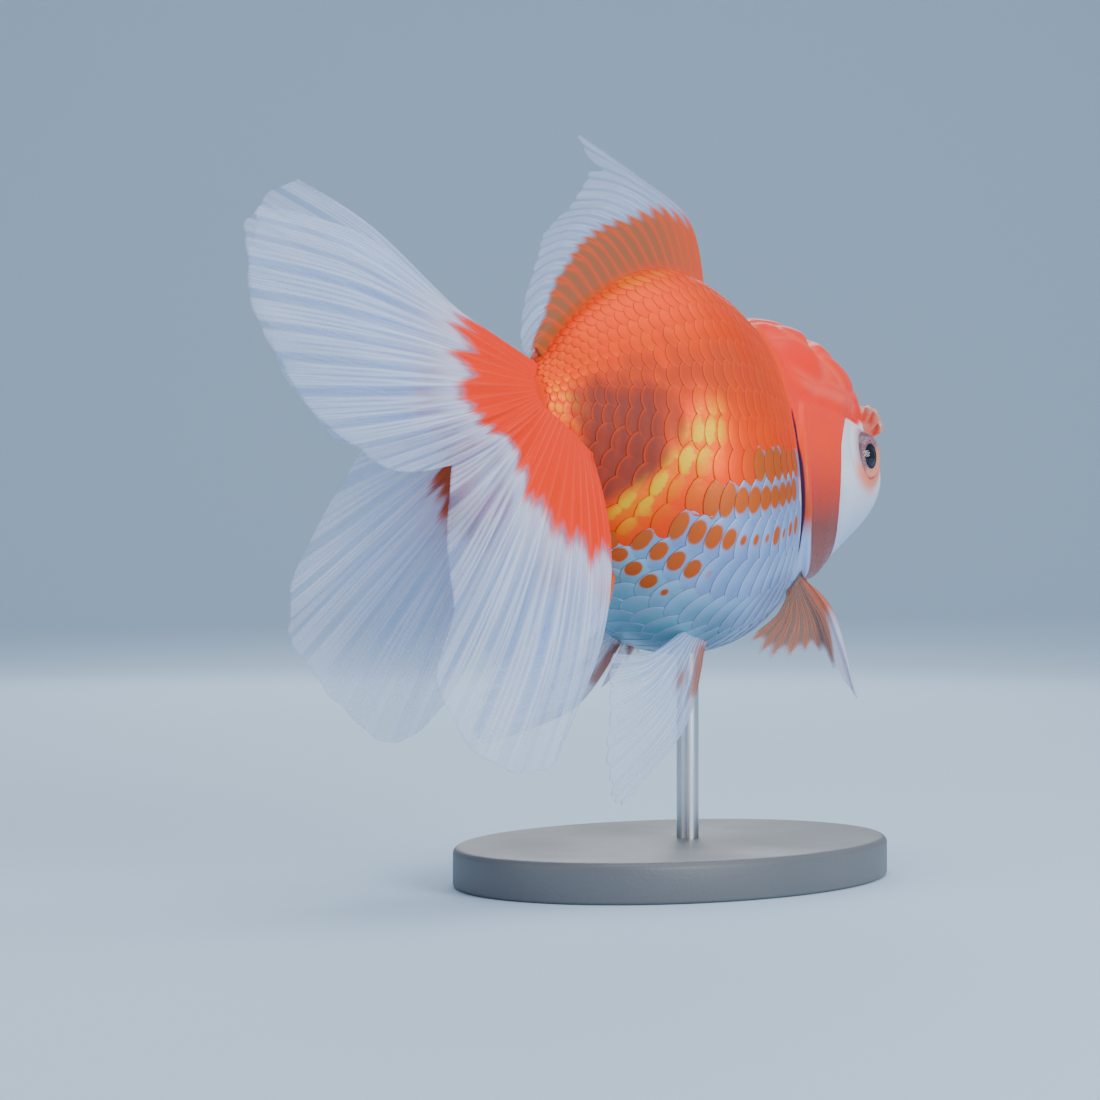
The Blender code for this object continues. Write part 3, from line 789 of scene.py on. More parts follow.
def scale_roots(side):
    """Roots of one side's scales: section, angle, x, share of the girth and the two spacings."""
    pitch_x, pitches = zip(*SCALE_PITCH)
    roots = []
    # The right side has the rows along the middle of back and belly too.
    for row in range(len(SCALE_ROWS)) if side < 0 else range(1, len(SCALE_ROWS) - 1):
        middle, half = SCALE_ROWS[row], SCALE_ROW_GAPS[row] / 2
        xs = [SCALES_FROM]
        while xs[-1] > SCALES_TO:
            pitch = float(np.interp(xs[-1], pitch_x, pitches))
            xs.append(xs[-1] - pitch * (FINE_PITCH if middle < FINE_ABOVE else 1.0))
        for column in range(len(xs) - 1):
            x = xs[column] if row % 2 else (xs[column] + xs[column + 1]) / 2
            share = float(bent(middle, x))
            t = float(row_at(x))
            nearest = int(round(t / SECTIONS[-1] * (len(SECTIONS) - 1)))
            lengths = LENGTHS[nearest]
            turn = float(np.interp(share * lengths[-1], lengths, TURNS))
            angle = math.pi / 2 - side * turn
            z = hull(np.array(t), np.array(angle))[2]
            if x > gill_edge(z) - SCALES_CLEAR or x < LAST_ROOT:
                continue
            gap = float(bent(middle + half, x) - bent(middle - half, x)) * lengths[-1]
            roots.append((t, angle, x, share, xs[column] - xs[column + 1], gap))
    return np.array(roots)


def one_scale():
    """A single scale as a closed plate: x from its root, at -1, to its free edge, at 1; y across; z is
    0 underneath and 1 on top."""
    spokes = SCALE_SPOKES
    points, faces = [(0.1, 0.0, 1.0)], []
    for ring in SCALE_RINGS:
        for i in range(spokes):
            turn = 2 * math.pi * i / spokes
            x, y = math.cos(turn), math.sin(turn)
            if x < 0:
                y *= 1 - 0.25 * x * x
            x *= 1 - 0.05 * y * y
            points.append((0.1 * (1 - ring) + ring * x, ring * y, 1.0))
    below = len(points)
    for i in range(spokes):
        x, y, _ = points[below - spokes + i]
        points.append((x * 0.99, y * 0.99, 0.0))
    for i in range(spokes):
        n = (i + 1) % spokes
        faces.append((0, 1 + i, 1 + n))
        for r in range(len(SCALE_RINGS) - 1):
            a, b = 1 + r * spokes, 1 + (r + 1) * spokes
            faces.append((a + i, b + i, b + n, a + n))
        faces.append((below - spokes + i, below + i, below + n, below - spokes + n))
    faces.append(tuple(below + i for i in range(spokes))[::-1])
    mesh = bpy.data.meshes.new("one_scale")
    mesh.from_pydata(points, [], faces)
    made = linked("one_scale", mesh)
    set_vectors(made, {"local": points})
    return made


def scale_bed():
    """The smooth body outline that the scales are laid on."""
    t = np.linspace(0.2, len(HULL) - 1.2, BED_RINGS)
    t, angle = np.meshgrid(t, 2 * math.pi * np.arange(BED_SEGMENTS) / BED_SEGMENTS, indexing="ij")
    return new_object("scale_bed", hull(t, angle).reshape(-1, 3), ring_faces(BED_RINGS, BED_SEGMENTS))


def scale_tree():
    """Sets a scale on each root, then lays its points along the bed."""
    tree, add, given, out, identifiers = new_tree(
        "Lay scales",
        "GeometryNodeTree",
        {
            "Geometry": "Geometry",
            "Scale": "Object",
            "Bed": "Object",
            "Thickness": "Float",
            "Lift": "Float",
            "Sink": "Float",
            "Map patch": "Float",
            "Finish": "Material",
        },
        {"Geometry": "Geometry"},
    )

    def named(name, kind="FLOAT"):
        node = add.put("GeometryNodeInputNamedAttribute", data_type=kind)
        node.inputs["Name"].default_value = name
        return node.outputs["Attribute"]

    def vector(operation, a, b=None, scale=None):
        node = add.put("ShaderNodeVectorMath", {0: a}, operation=operation)
        if b is not None:
            add.feed(node.inputs[1], b)
        if scale is not None:
            add.feed(node.inputs["Scale"], scale)
        return node.outputs["Vector"]

    scale = add.put("GeometryNodeObjectInfo", {"Object": given["Scale"]}).outputs["Geometry"]
    bed = add.put("GeometryNodeObjectInfo", {"Object": given["Bed"]}).outputs["Geometry"]
    turn = add.put(
        "FunctionNodeAxesToRotation",
        {"Primary Axis": named("stand", "FLOAT_VECTOR"), "Secondary Axis": named("lie", "FLOAT_VECTOR")},
        primary_axis="Z",
        secondary_axis="X",
    )
    placed = add.put(
        "GeometryNodeInstanceOnPoints",
        {
            "Points": given["Geometry"],
            "Instance": scale,
            "Rotation": turn.outputs[0],
            "Scale": named("size", "FLOAT_VECTOR"),
        },
    )
    real = add.put("GeometryNodeRealizeInstances", {"Geometry": placed.outputs[0]}).outputs[0]
    local = add.put("ShaderNodeSeparateXYZ", {0: named("local", "FLOAT_VECTOR")}).outputs
    nearest = add.put("GeometryNodeProximity", {0: bed}, target_element="FACES")
    surface = add.put("GeometryNodeSampleNearestSurface", {"Mesh": bed}, data_type="FLOAT_VECTOR")
    add.feed(surface.inputs["Value"], add.put("GeometryNodeInputNormal").outputs[0])
    # From sunk at the root to lifted at the free edge, and thinner towards the whole rim.
    tilt = add.put(
        "ShaderNodeMapRange",
        {0: local["X"], 1: -1.0, 2: 1.0, 3: add.times(given["Sink"], -1.0), 4: given["Lift"]},
    ).outputs[0]
    spread = add.put("ShaderNodeCombineXYZ", {0: local["X"], 1: local["Y"]}).outputs[0]
    far = add.put("ShaderNodeVectorMath", {0: spread}, operation="LENGTH").outputs["Value"]
    body = add.times(add.minus(1.12, add.math("POWER", far, 4.0)), given["Thickness"])
    off = add.plus(add.times(local["Z"], body), tilt)
    laid = vector("ADD", nearest.outputs["Position"], vector("SCALE", surface.outputs["Value"], scale=off))
    moved = add.put("GeometryNodeSetPosition", {"Geometry": real, "Position": laid}).outputs[0]
    on_map = vector(
        "ADD",
        named("map_root", "FLOAT_VECTOR"),
        vector("SCALE", spread, scale=add.times(given["Map patch"], 0.5)),
    )
    mapped = add.put(
        "GeometryNodeStoreNamedAttribute",
        {"Geometry": moved, "Name": "OFBake", "Value": on_map},
        data_type="FLOAT2",
        domain="CORNER",
    )
    finished = add.put(
        "GeometryNodeSetMaterial", {"Geometry": mapped.outputs[0], "Material": given["Finish"]}
    )
    smooth = add.put("GeometryNodeSetShadeSmooth", {"Geometry": finished.outputs[0]})
    add.feed(out["Geometry"], smooth.outputs[0])
    return tree, identifiers


def scales_finish():
    finish, add, shader = new_finish(
        "scales", {"Specular IOR Level": 0.10, "Coat Weight": 0.02, "Coat Roughness": 0.20}
    )
    grain = wet(add, 2600.0)
    mottle = grain["Mottle"]
    local = add.put("ShaderNodeSeparateXYZ", {0: add.read("local", "Vector")}).outputs
    x, y, mark, tone = local["X"], local["Y"], add.read("mark"), add.read("tone")
    gold_and_glint, shade, belly = add.read("gold_and_glint"), add.read("shade"), add.read("belly")
    far = add.length(x, y)
    # The spot fills the part that shows, and shrinks where the orange gives way to white.
    dx = add.times(add.minus(x, 0.53), 2.1)
    dy = add.times(y, add.span(mark, 0.45, 0.80, 2.2, 1.6))
    from_spot = add.plus(add.length(dx, dy), add.times(add.noise(700.0, 2.0), 0.22))
    size = add.span(mark, 0.02, 0.30, 0.45, 1.16)
    size = add.plus(size, add.span(mark, 0.80, 1.05, 0.0, 2.0))
    spot = add.span(add.minus(size, from_spot), -0.16, 0.16)
    spot = add.times(spot, add.span(mark, 0.0, 0.05))
    rim = add.span(far, 0.84, 1.0)
    # Fine ribs fan out from the root.
    fan = add.math("ARCTAN2", y, add.plus(x, 1.6))
    ribs = add.math("SINE", add.times(fan, 95.0))
    orange = add.mix(add.times(tone, 0.55), ORANGE, ORANGE_PALE)
    orange = add.mix(add.times(mottle, 0.25), orange, ORANGE_PALE)
    free = add.span(x, 0.1, 0.95)
    orange = add.mix(add.times(add.minus(1.0, free), 0.25), orange, COVER_RED)
    # Painted highlight along the free edges of the scales on the back.
    orange = add.mix(add.times(add.read("lit_arcs"), rim), orange, LIT_EDGE)
    # Painted shade, brown, over the scales in the shaded patch.
    orange = add.mix(add.times(shade, add.span(far, 1.0, 0.72, 0.55, 1.0)), orange, SHADE_BROWN)
    # Painted highlight: golden glints, scale by scale, mostly along the band where the light glances off.
    glint = add.plus(from_spot, add.times(add.noise(620.0, 3.0), 1.7))
    glow = add.mix(add.span(glint, 2.15, 1.65), GOLD_GLINT_EDGE, GOLD_GLINT)
    lit = add.times(gold_and_glint, add.span(tone, 0.05, 0.5, 0.45, 1.0))
    orange = add.mix(lit, orange, glow)
    orange = add.mix(add.span(mark, 1.05, 0.85, 0.0, 0.85), orange, SPOT)
    # The white scales' pearl, painted darker and bluer as in shade, greener under the belly.
    pearl = add.mix(belly, SHADED_PEARL, PEARL_GREEN)
    pearl = add.mix(add.times(mottle, 0.3), pearl, PEARL_BRIGHT)
    pearl = add.mix(add.times(free, 0.45), pearl, PEARL_BRIGHT)
    pearl = add.mix(add.times(rim, 0.4), pearl, PEARL_BRIGHT)
    colour = add.mix(spot, pearl, orange)
    add.feed(shader.inputs["Base Color"], colour)
    shine = add.span(gold_and_glint, 0.1, 0.8, 0.40, 0.22)
    add.feed(shader.inputs["Metallic"], add.times(shine, add.span(shade, 0.1, 0.7, 1.0, 0.0)))
    rough = add.plus(grain["Roughness"], add.times(shade, 0.15))
    rough = add.plus(rough, add.times(spot, 0.12))
    add.feed(shader.inputs["Roughness"], rough)
    # Each plate is a little domed, so it catches the light near its free edge.
    dome = add.times(add.math("POWER", far, 2.0), -1.0)
    add.bump(shader, add.plus(dome, add.times(ribs, 0.012)), 1.0, 0.00010)
    return finish


def blot(x, share, middle, half):
    """A soft patch round a place on the flank."""
    return np.exp(-(((x - middle[0]) / half[0]) ** 2) - ((share - middle[1]) / half[1]) ** 2)


# Where the light glances off the flank, painted as a highlight: x and the share of the girth
# along the golden band.
GOLD_BAND = (
    (3.0, 0.92),
    (8.0, 0.89),
    (11.0, 0.80),
    (12.0, 0.76),
    (13.5, 0.72),
    (15.5, 0.65),
    (17.0, 0.59),
    (19.0, 0.535),
    (21.0, 0.487),
    (24.0, 0.445),
    (28.0, 0.41),
)


def sheen_of(piece):
    """How golden each point of a coat is, mostly as a painted highlight along the band, and how deep
    in the painted shade above that band.
    """
    spots = np.empty(3 * len(piece.data.vertices), np.float32)
    piece.data.vertices.foreach_get("co", spots)
    x, _, z = (spots.reshape(-1, 3) * 1000 - TAIL_ROOT).T
    t = row_at(x)
    share = girth_share(t, angle_at(t, z))
    band = np.interp(x, *np.array(GOLD_BAND).T) + 0.012 * ripple(91, x * 0.9, share * 30)
    # Painted highlight along the band, then golden patches by the dorsal fin and by the tail.
    gold_and_glint = bell(share, band, 0.046) * rise(x, 9.5, 12.5) * rise(x, 29.0, 24.0)
    gold_and_glint = gold_and_glint + 0.45 * bell(share, band + 0.045, 0.07) * rise(x, 11.0, 14.0) * rise(x, 27.0, 22.0)
    gold_and_glint = gold_and_glint + 0.5 * blot(x, share, (26.0, 0.02), (9.0, 0.045))
    gold_and_glint = gold_and_glint + 0.30 * blot(x, share, (1.5, 0.50), (2.6, 0.25)) * (1 + ripple(93, x * 2, share * 40))
    # Painted shade: a brown patch above the band, a dusky strip along the back, and behind the gill cover.
    ragged = ripple(95, x * 1.6, share * 22)
    shade = rise(x + ragged, 1.0, 7.0) * rise(x + 1.6 * ragged, 24.0, 15.5)
    shade = shade * rise(share + 0.02 * ragged, 0.26, 0.40) * rise(share - band, 0.0, -0.08)
    shade = shade * (0.92 + 0.12 * ripple(97, x * 2.5, share * 14))
    dusk = bell(share, 0.315 + 0.03 * ragged, 0.065) * rise(x, 4.0, 12.0) * rise(x, 46.0, 36.0)
    shade = np.maximum(shade, 0.50 * dusk)
    shade = np.maximum(shade, 0.45 * rise(x, 42.0, 52.0) * rise(share, 0.42, 0.62))
    return {"gold_and_glint": np.clip(gold_and_glint, 0, 1), "shade": np.clip(shade, 0, 1)}


def scale_points(side, label):
    """The roots as loose points, with what the tree and the finish read at each."""
    t, angle, x, share, pitch, gap = scale_roots(side).T
    stand = hull_normal(t, angle)
    step = 0.02
    lie = unit(hull(t + step, angle) - hull(t - step, angle))
    draw = np.random.default_rng(21 + side)
    mesh = bpy.data.meshes.new(f"roots_{label}")
    mesh.from_pydata(place(hull(t, angle)).tolist(), [], [])
    tone = draw.uniform(size=len(t))
    mark = markings(x, share)
    mark = mark + np.where(mark < 0.95, 0.05 * draw.normal(size=len(t)), 0.0)
    made = linked(f"roots_{label}", mesh)
    set_masks(
        made,
        {
            "mark": np.clip(mark, 0, 1.5),
            "tone": tone,
            # Where the free edges get a painted highlight.
            "lit_arcs": 0.55 * rise(share, 0.48, 0.36) * rise(x, 2.0, 12.0),
            "belly": rise(share, 0.70, 0.92) * rise(x, 48.0, 30.0),
        },
    )
    # In metres, and nearly flat, because the tree gives each point its height.
    size = np.stack((pitch * SCALE_LENGTH / 2, gap * SCALE_HEIGHT / 2, np.ones(len(t))), axis=-1)
    size = size * (0.001, 0.001, 0.00001)
    # On the map the back runs up the middle, each side spreads to its own half, and x runs upwards.
    on_map = np.stack(
        (0.5 + side * (0.02 + 0.46 * share), 0.04 + 0.92 * (x + 3) / 66, np.zeros(len(t))), axis=-1
    )
    set_vectors(made, {"stand": stand, "lie": lie, "size": size, "map_root": on_map})
    return made


def applied(obj, name):
    """The object with its modifiers worked into a plain mesh, under a new name."""
    bpy.context.view_layer.update()
    evaluated = obj.evaluated_get(bpy.context.evaluated_depsgraph_get())
    mesh = bpy.data.meshes.new_from_object(evaluated)
    mesh.name = name
    bpy.data.objects.remove(obj)
    return linked(name, mesh)


lay_scales, scale_inputs = scale_tree()
scale_bed_object, scale_object = scale_bed(), one_scale()
scales_material = scales_finish()
for side, label in ((-1, "right"), (1, "left")):
    roots = scale_points(side, label)
    layer = roots.modifiers.new("scales", "NODES")
    layer.node_group = lay_scales
    for name, value in (
        ("Scale", scale_object),
        ("Bed", scale_bed_object),
        ("Thickness", SCALE_THICKNESS * 0.001),
        ("Lift", (SCALE_LIFT - COAT_DEPTH) * 0.001),
        ("Sink", (SCALE_SINK + COAT_DEPTH) * 0.001),
        ("Map patch", MAP_PATCH),
        ("Finish", scales_material),
    ):
        layer[scale_inputs[name]] = value
    piece = applied(roots, f"scales_{label}")
    set_masks(piece, sheen_of(piece))
    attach(piece, "root")
bpy.data.objects.remove(scale_bed_object)
bpy.data.objects.remove(scale_object)

# ---------------------------------------------------------------- fins
# Clear webs stretched over bony rays that branch towards the margin. The bases are orange, the rest is
# white, and the double tail is gathered in soft pleats.

RAY_SPLITS = (0.22, 0.46, 0.70)  # how far along the rays branch, and how far the branches spread
RAY_SPREADS = (0.18, 0.085, 0.04)
RAY_RISE = 0.05
RAY_WIDTH, DORSAL_RAY_WIDTH = 0.15, 0.20  # in spacings between rays
ROOT_LIFT = 0.3  # how far off the body the root points of the paired fins and the frills lie
DORSAL_ROOT_LIFT = -0.7  # the dorsal fin's lie inside it
# Brown of the fins' own marks, also painted as shadow on the base of the tail's left lower lobe.
FIN_BROWN = (0.40, 0.120, 0.042)
MILKY = (0.88, 0.77, 0.85)  # the white just outside a coloured base, where the web is thickest


def branching(across, along, width):
    """How near a point of a fin is to the middle of a ray, 1 on it. Across counts rays, and each ray
    splits in two where along passes each of the splits."""
    offset = np.abs(across % 1.0 - 0.5)
    for start, spread in zip(RAY_SPLITS, RAY_SPREADS):
        offset = np.abs(offset - spread * rise(along, start, start + 0.25))
    return np.exp(-((offset / (width * (1 - 0.75 * along))) ** 2))


def rays_group():
    """The same branching rays as the fins' meshes have, drawn finer: a mask, faint cross joints, the
    fibres between the rays, and how strong each bundle of them is."""
    tree, add, given, out, _ = new_tree(
        "Branching rays",
        "ShaderNodeTree",
        dict.fromkeys(("Across", "Along", "Width"), "Float"),
        dict.fromkeys(("Ray", "Joint", "Fibre", "Bundle"), "Float"),
    )
    across, along = given["Across"], given["Along"]
    offset = add.math("ABSOLUTE", add.minus(add.math("FRACT", across), 0.5))
    for start, spread in zip(RAY_SPLITS, RAY_SPREADS):
        part = add.times(add.span(along, start, start + 0.25), spread)
        offset = add.math("ABSOLUTE", add.minus(offset, part))
    taper = add.minus(1.0, add.times(along, 0.75))
    near = add.math("DIVIDE", offset, add.times(taper, given["Width"]))
    fall = add.math("EXPONENT", add.times(add.math("POWER", near, 2.0), -1.0))
    add.feed(out["Ray"], fall)
    joint = add.math("SINE", add.times(along, 520.0))
    add.feed(out["Joint"], add.span(joint, 0.2, 1.0))

    def streaks(across_scale, along_scale, detail):
        at = {0: add.times(across, across_scale), 1: add.times(along, along_scale)}
        return add.noise(1.0, detail, add.put("ShaderNodeCombineXYZ", at).outputs[0])

    add.feed(out["Fibre"], add.span(streaks(11.0, 2.5, 3.0), 0.32, 0.68))
    add.feed(out["Bundle"], add.span(streaks(0.8, 1.3, 2.0), 0.30, 0.70))
    return tree


RAYS = rays_group()


def fin_finish(name, web, ray, base_web, base_ray, web_alpha, ray_alpha, width):
    """A fin's finish: web and ray colours, the same for its coloured base, and how much of each can't
    be seen through, at the root, at the margin and on the coloured base."""
    finish, add, shader = new_finish(name, {"Roughness": 0.40, "Specular IOR Level": 0.15})
    flat = add.put("ShaderNodeUVMap", uv_map="Rays").outputs[0]
    across, along, _ = add.put("ShaderNodeSeparateXYZ", {0: flat}).outputs
    values = {"Across": across, "Along": along, "Width": width}
    rays = add.put("ShaderNodeGroup", values, node_tree=RAYS).outputs
    ray_mask, joint, fibre, bundle = (rays[k] for k in ("Ray", "Joint", "Fibre", "Bundle"))
    tint, warm, dark, stout, milky = map(add.read, ("tint", "warm", "dark", "stout", "milky"))
    plain = add.mix(add.times(fibre, 0.6), web, ray)
    plain = add.mix(add.times(milky, add.span(fibre, 0.0, 1.0, 0.25, 0.85)), plain, MILKY)
    base = add.mix(warm, base_web, base_ray)
    web_colour = add.mix(tint, plain, base)
    ray_colour = add.mix(add.times(joint, 0.25), ray, web)
    ray_colour = add.mix(tint, ray_colour, base_ray)
    colour = add.mix(add.math("MAXIMUM", ray_mask, add.times(stout, 0.8)), web_colour, ray_colour)
    # Brown marks, and painted shadow on the base of the tail's left lower lobe.
    colour = add.mix(add.times(dark, 0.85), colour, FIN_BROWN)
    add.feed(shader.inputs["Base Color"], colour)
    thin = add.span(along, 0.25, 1.0, web_alpha[0], web_alpha[1])
    stiff = add.span(along, 0.25, 1.0, ray_alpha[0], ray_alpha[1])
    alpha = add.put("ShaderNodeMix", {0: ray_mask, 2: thin, 3: stiff}, data_type="FLOAT").outputs[0]
    # Bundles of fibres are thicker in places, and let less light through there.
    alpha = add.times(alpha, add.plus(0.74, add.times(bundle, 0.5)))
    alpha = add.times(alpha, add.plus(0.86, add.times(fibre, 0.28)))
    solid = add.times(add.math("MAXIMUM", tint, dark), web_alpha[2])
    solid = add.math("MAXIMUM", solid, add.times(milky, 0.72))
    alpha = add.math("MAXIMUM", alpha, add.math("MAXIMUM", solid, add.times(stout, 0.75)))
    add.feed(shader.inputs["Alpha"], add.math("MINIMUM", alpha, 1.0))
    add.bump(shader, add.plus(ray_mask, add.times(fibre, 0.35)), 0.35, 0.00018)
    return finish


def ray_point(rays, u, v):
    """Points of a fin: u runs across its rays from the leading one, v along them from root to tip."""
    rows = through(rays.reshape(len(rays), -1), u * (len(rays) - 1))
    columns = rows.reshape(*u.shape, rays.shape[1], 3)

    def column(i):
        at = np.broadcast_to(i[..., None, None], (*u.shape, 1, 3))
        return np.take_along_axis(columns, at, axis=-2)[..., 0, :]

    return smooth_between(column, rays.shape[1], v * (rays.shape[1] - 1))


def sheet_normal(points):
    return unit(np.cross(np.gradient(points, axis=0), np.gradient(points, axis=1)))


def fin_mesh(name, rays, side, ray_count, cells, finish, width, seed, shape):
    """A fin as a closed web with raised rays. Shape gives, for u, v and the count of rays across, the
    margin's reach, the sideways pleat in mm, the thickness, and the masks of its markings."""
    v = np.linspace(-0.05, 1, cells[1] + 1)
    u, v = np.meshgrid(np.linspace(0, 1, cells[0] + 1), v, indexing="ij")
    across = u * ray_count + 0.30 * ripple(seed, u * 9, v * 1.6) * np.clip(3 * v, 0, 1)
    margin, pleat, thickness, masks = shape(u, v, across)
    v = v * margin
    middle = ray_point(np.array(rays, float), u, v)
    middle = middle + sheet_normal(middle) * pleat[..., None]
    normal = sheet_normal(middle)
    raised = branching(across, np.clip(v, 0, 1), width)
    half = (thickness / 2 + RAY_RISE * raised)[..., None]
    plates = np.stack((middle + normal * half, middle - normal * half))
    plates[..., 1] *= side
    rows, columns = u.shape
    index = np.arange(2 * rows * columns).reshape(2, rows, columns)

    def quads(a, b, c, d):
        return np.stack((a, b, c, d), axis=-1).reshape(-1, 4)

    front, back = index
    faces = np.concatenate(
        (
            quads(front[:-1, :-1], front[1:, :-1], front[1:, 1:], front[:-1, 1:]),
            quads(back[:-1, :-1], back[:-1, 1:], back[1:, 1:], back[1:, :-1]),
            quads(front[:-1, 0], front[1:, 0], back[1:, 0], back[:-1, 0]),
            quads(front[:-1, -1], front[1:, -1], back[1:, -1], back[:-1, -1]),
            quads(front[0, :-1], front[0, 1:], back[0, 1:], back[0, :-1]),
            quads(front[-1, :-1], front[-1, 1:], back[-1, 1:], back[-1, :-1]),
        )
    )
    made = new_object(name, plates.reshape(-1, 3), faces, finish)
    set_masks(made, {k: np.stack((m, m)) for k, m in masks.items()})
    flat = np.stack((across, np.clip(v, 0, 1)), axis=-1)
    flat = np.stack((flat, flat)).reshape(-1, 2)
    corners = np.empty(len(made.data.loops), int)
    made.data.loops.foreach_get("vertex_index", corners)
    made.data.uv_layers.new(name="Rays").data.foreach_set(
        "uv", flat[corners].astype(np.float32).ravel()
    )
    return made


def on_body(t, angle, lift):
    return tuple(hull(t, angle) + hull_normal(t, angle) * lift)


def on_flank(x, z):
    """The point of the left flank at x and z, as (x, out, z)."""
    t = row_at(x)
    return on_body(t, angle_at(t, z), ROOT_LIFT)


def on_belly(x, out):
    """The point under the belly at x and that far out."""
    t = row_at(x)
    return on_body(t, -np.arccos(np.minimum(1.0, out / through(HULL, t)[3])), ROOT_LIFT)


def ray_tips(across, depth):
    """A fringed margin: each ray reaches to 1, and the web between falls short by the depth."""
    return 1 - depth * np.cos(math.pi * across) ** 2


# ---- dorsal fin
# Each ray from the leading one back: x of its root, then points along it.
DORSAL_RAYS = (
    (48.4, (43.8, 0.0, 59.2), (29.5, 0.0, 65.7), (12.1, 0.0, 71.9)),
    (43.0, (37.2, 0.3, 60.0), (26.0, 0.4, 64.4), (14.6, 0.4, 65.4)),
    (36.0, (29.5, 0.5, 57.6), (20.0, 0.6, 60.4), (9.6, 0.6, 59.6)),
    (28.5, (21.4, 0.5, 54.6), (12.6, 0.6, 56.4), (3.8, 0.6, 54.4)),
    (21.0, (14.4, 0.4, 50.6), (7.4, 0.4, 51.4), (0.6, 0.4, 49.0)),
    (14.0, (8.6, 0.2, 45.0), (3.4, 0.2, 45.2), (-1.6, 0.2, 42.0)),
    (8.0, (4.6, 0.0, 39.8), (0.9, 0.0, 38.4), (-2.7, 0.0, 34.8)),
    (2.5, (1.4, 0.0, 34.3), (0.4, 0.0, 33.8), (-0.8, 0.0, 33.0)),
)


def dorsal_shape(u, v, across):
    """A torn margin, a stout leading ray, and a toothed brown base with orange rays."""
    torn = 0.10 * bell(u, 0.116, 0.019) + 0.05 * (0.5 + 0.5 * ripple(31, u * 46))
    margin = ray_tips(across, 0.025) - torn * rise(u, 0.03, 0.10)
    reach = np.interp(u, (0, 0.17, 0.43, 0.69, 0.86, 1), (0.34, 0.40, 0.50, 0.50, 0.42, 0.75))
    tooth = 0.07 - 0.04 * rise(u, 0.30, 0.7)
    teeth = tooth * (0.5 - np.cos(math.pi * across) ** 2) + 0.03 * ripple(33, u * 31)
    tint = rise(v, reach + teeth + 0.06, reach + teeth - 0.04)
    stout = bell(u, 0.0, 0.03) * rise(v, 1.0, 0.4)
    thickness = 1.1 - 0.85 * rise(v, 0.0, 0.5) + 0.7 * stout
    pleat = 0.35 * np.sin(2 * math.pi * 3.5 * u + 1.0) * v * rise(u, 1.0, 0.8)
    warm = np.clip(0.75 * rise(u, 0.29, 0.043) + 0.9 * rise(v, 0.14, 0.02) + 0.5 * stout, 0, 1)
    return margin, pleat, thickness, {"tint": tint, "warm": warm, "stout": stout * (1 - tint)}


dorsal_finish = fin_finish(
    "dorsal_fin",
    web=(0.30, 0.47, 0.90),
    ray=(0.62, 0.72, 0.95),
    base_web=(0.36, 0.125, 0.040),
    base_ray=(0.78, 0.095, 0.014),
    web_alpha=(0.24, 0.12, 0.76),
    ray_alpha=(0.45, 0.24),
    width=DORSAL_RAY_WIDTH,
)
back = np.array(math.pi / 2)
dorsal = fin_mesh(
    "dorsal_fin_web",
    [(on_body(row_at(x), back, DORSAL_ROOT_LIFT), *points) for x, *points in DORSAL_RAYS],
    side=-1,
    ray_count=19,
    cells=(304, 64),
    finish=dorsal_finish,
    width=DORSAL_RAY_WIDTH,
    seed=35,
    shape=dorsal_shape,
)
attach(dorsal, "root")
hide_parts("dorsal_fin")

# ---- tail
# Roots of the rays round the end of the stalk, from the top down, then points along each ray of the
# right side's lobes, at -1, and the left side's, at 1, as (x, out, z).
UPPER_ROOTS = (
    (-0.8, 0.9, 31.6),
    (-1.9, 1.5, 30.2),
    (-2.9, 2.1, 28.8),
    (-3.3, 2.9, 27.2),
    (-3.3, 3.5, 25.8),
    (-3.1, 4.0, 24.8),
    (-2.7, 4.5, 23.8),
)
LOWER_ROOTS = (
    (-2.7, 4.5, 23.8),
    (-1.6, 5.2, 22.4),
    (0.2, 6.1, 20.6),
    (2.2, 7.1, 18.8),
    (4.0, 8.0, 17.0),
    (5.6, 9.0, 15.4),
)
UPPER_LOBES = {
    -1: (
        ((-21.5, 2.0, 39.3), (-43.0, 3.2, 48.9), (-68.0, 4.5, 52.3)),
        ((-25.9, 3.7, 38.0), (-50.0, 5.1, 44.6), (-73.0, 5.5, 47.2)),
        ((-26.0, 5.4, 32.4), (-50.0, 7.1, 35.4), (-72.4, 7.0, 37.2)),
        ((-24.0, 6.8, 26.9), (-46.0, 8.6, 26.6), (-67.4, 8.7, 26.6)),
        ((-20.9, 7.2, 22.7), (-39.0, 9.4, 19.6), (-55.8, 10.0, 17.0)),
        ((-17.1, 7.3, 20.7), (-32.0, 9.6, 16.6), (-47.0, 10.6, 12.8)),
        ((-13.8, 7.5, 19.3), (-25.3, 9.6, 15.3), (-36.7, 11.2, 11.9)),
    ),
    1: (
        ((-18.0, 1.0, 39.9), (-37.6, 1.3, 51.4), (-54.6, 1.5, 57.8)),
        ((-22.0, 2.2, 38.2), (-43.0, 2.2, 47.8), (-61.5, 2.0, 54.0)),
        ((-23.5, 3.2, 33.8), (-44.5, 3.0, 41.2), (-63.8, 2.5, 46.0)),
        ((-22.5, 4.8, 28.8), (-42.0, 4.4, 32.6), (-60.0, 3.5, 36.0)),
        ((-19.5, 6.0, 24.6), (-36.5, 6.2, 26.0), (-52.0, 5.5, 26.5)),
        ((-16.4, 6.8, 22.0), (-30.6, 7.6, 20.8), (-43.5, 7.4, 20.5)),
        ((-13.6, 7.2, 20.0), (-24.9, 8.6, 17.8), (-36.0, 9.0, 16.2)),
    ),
}
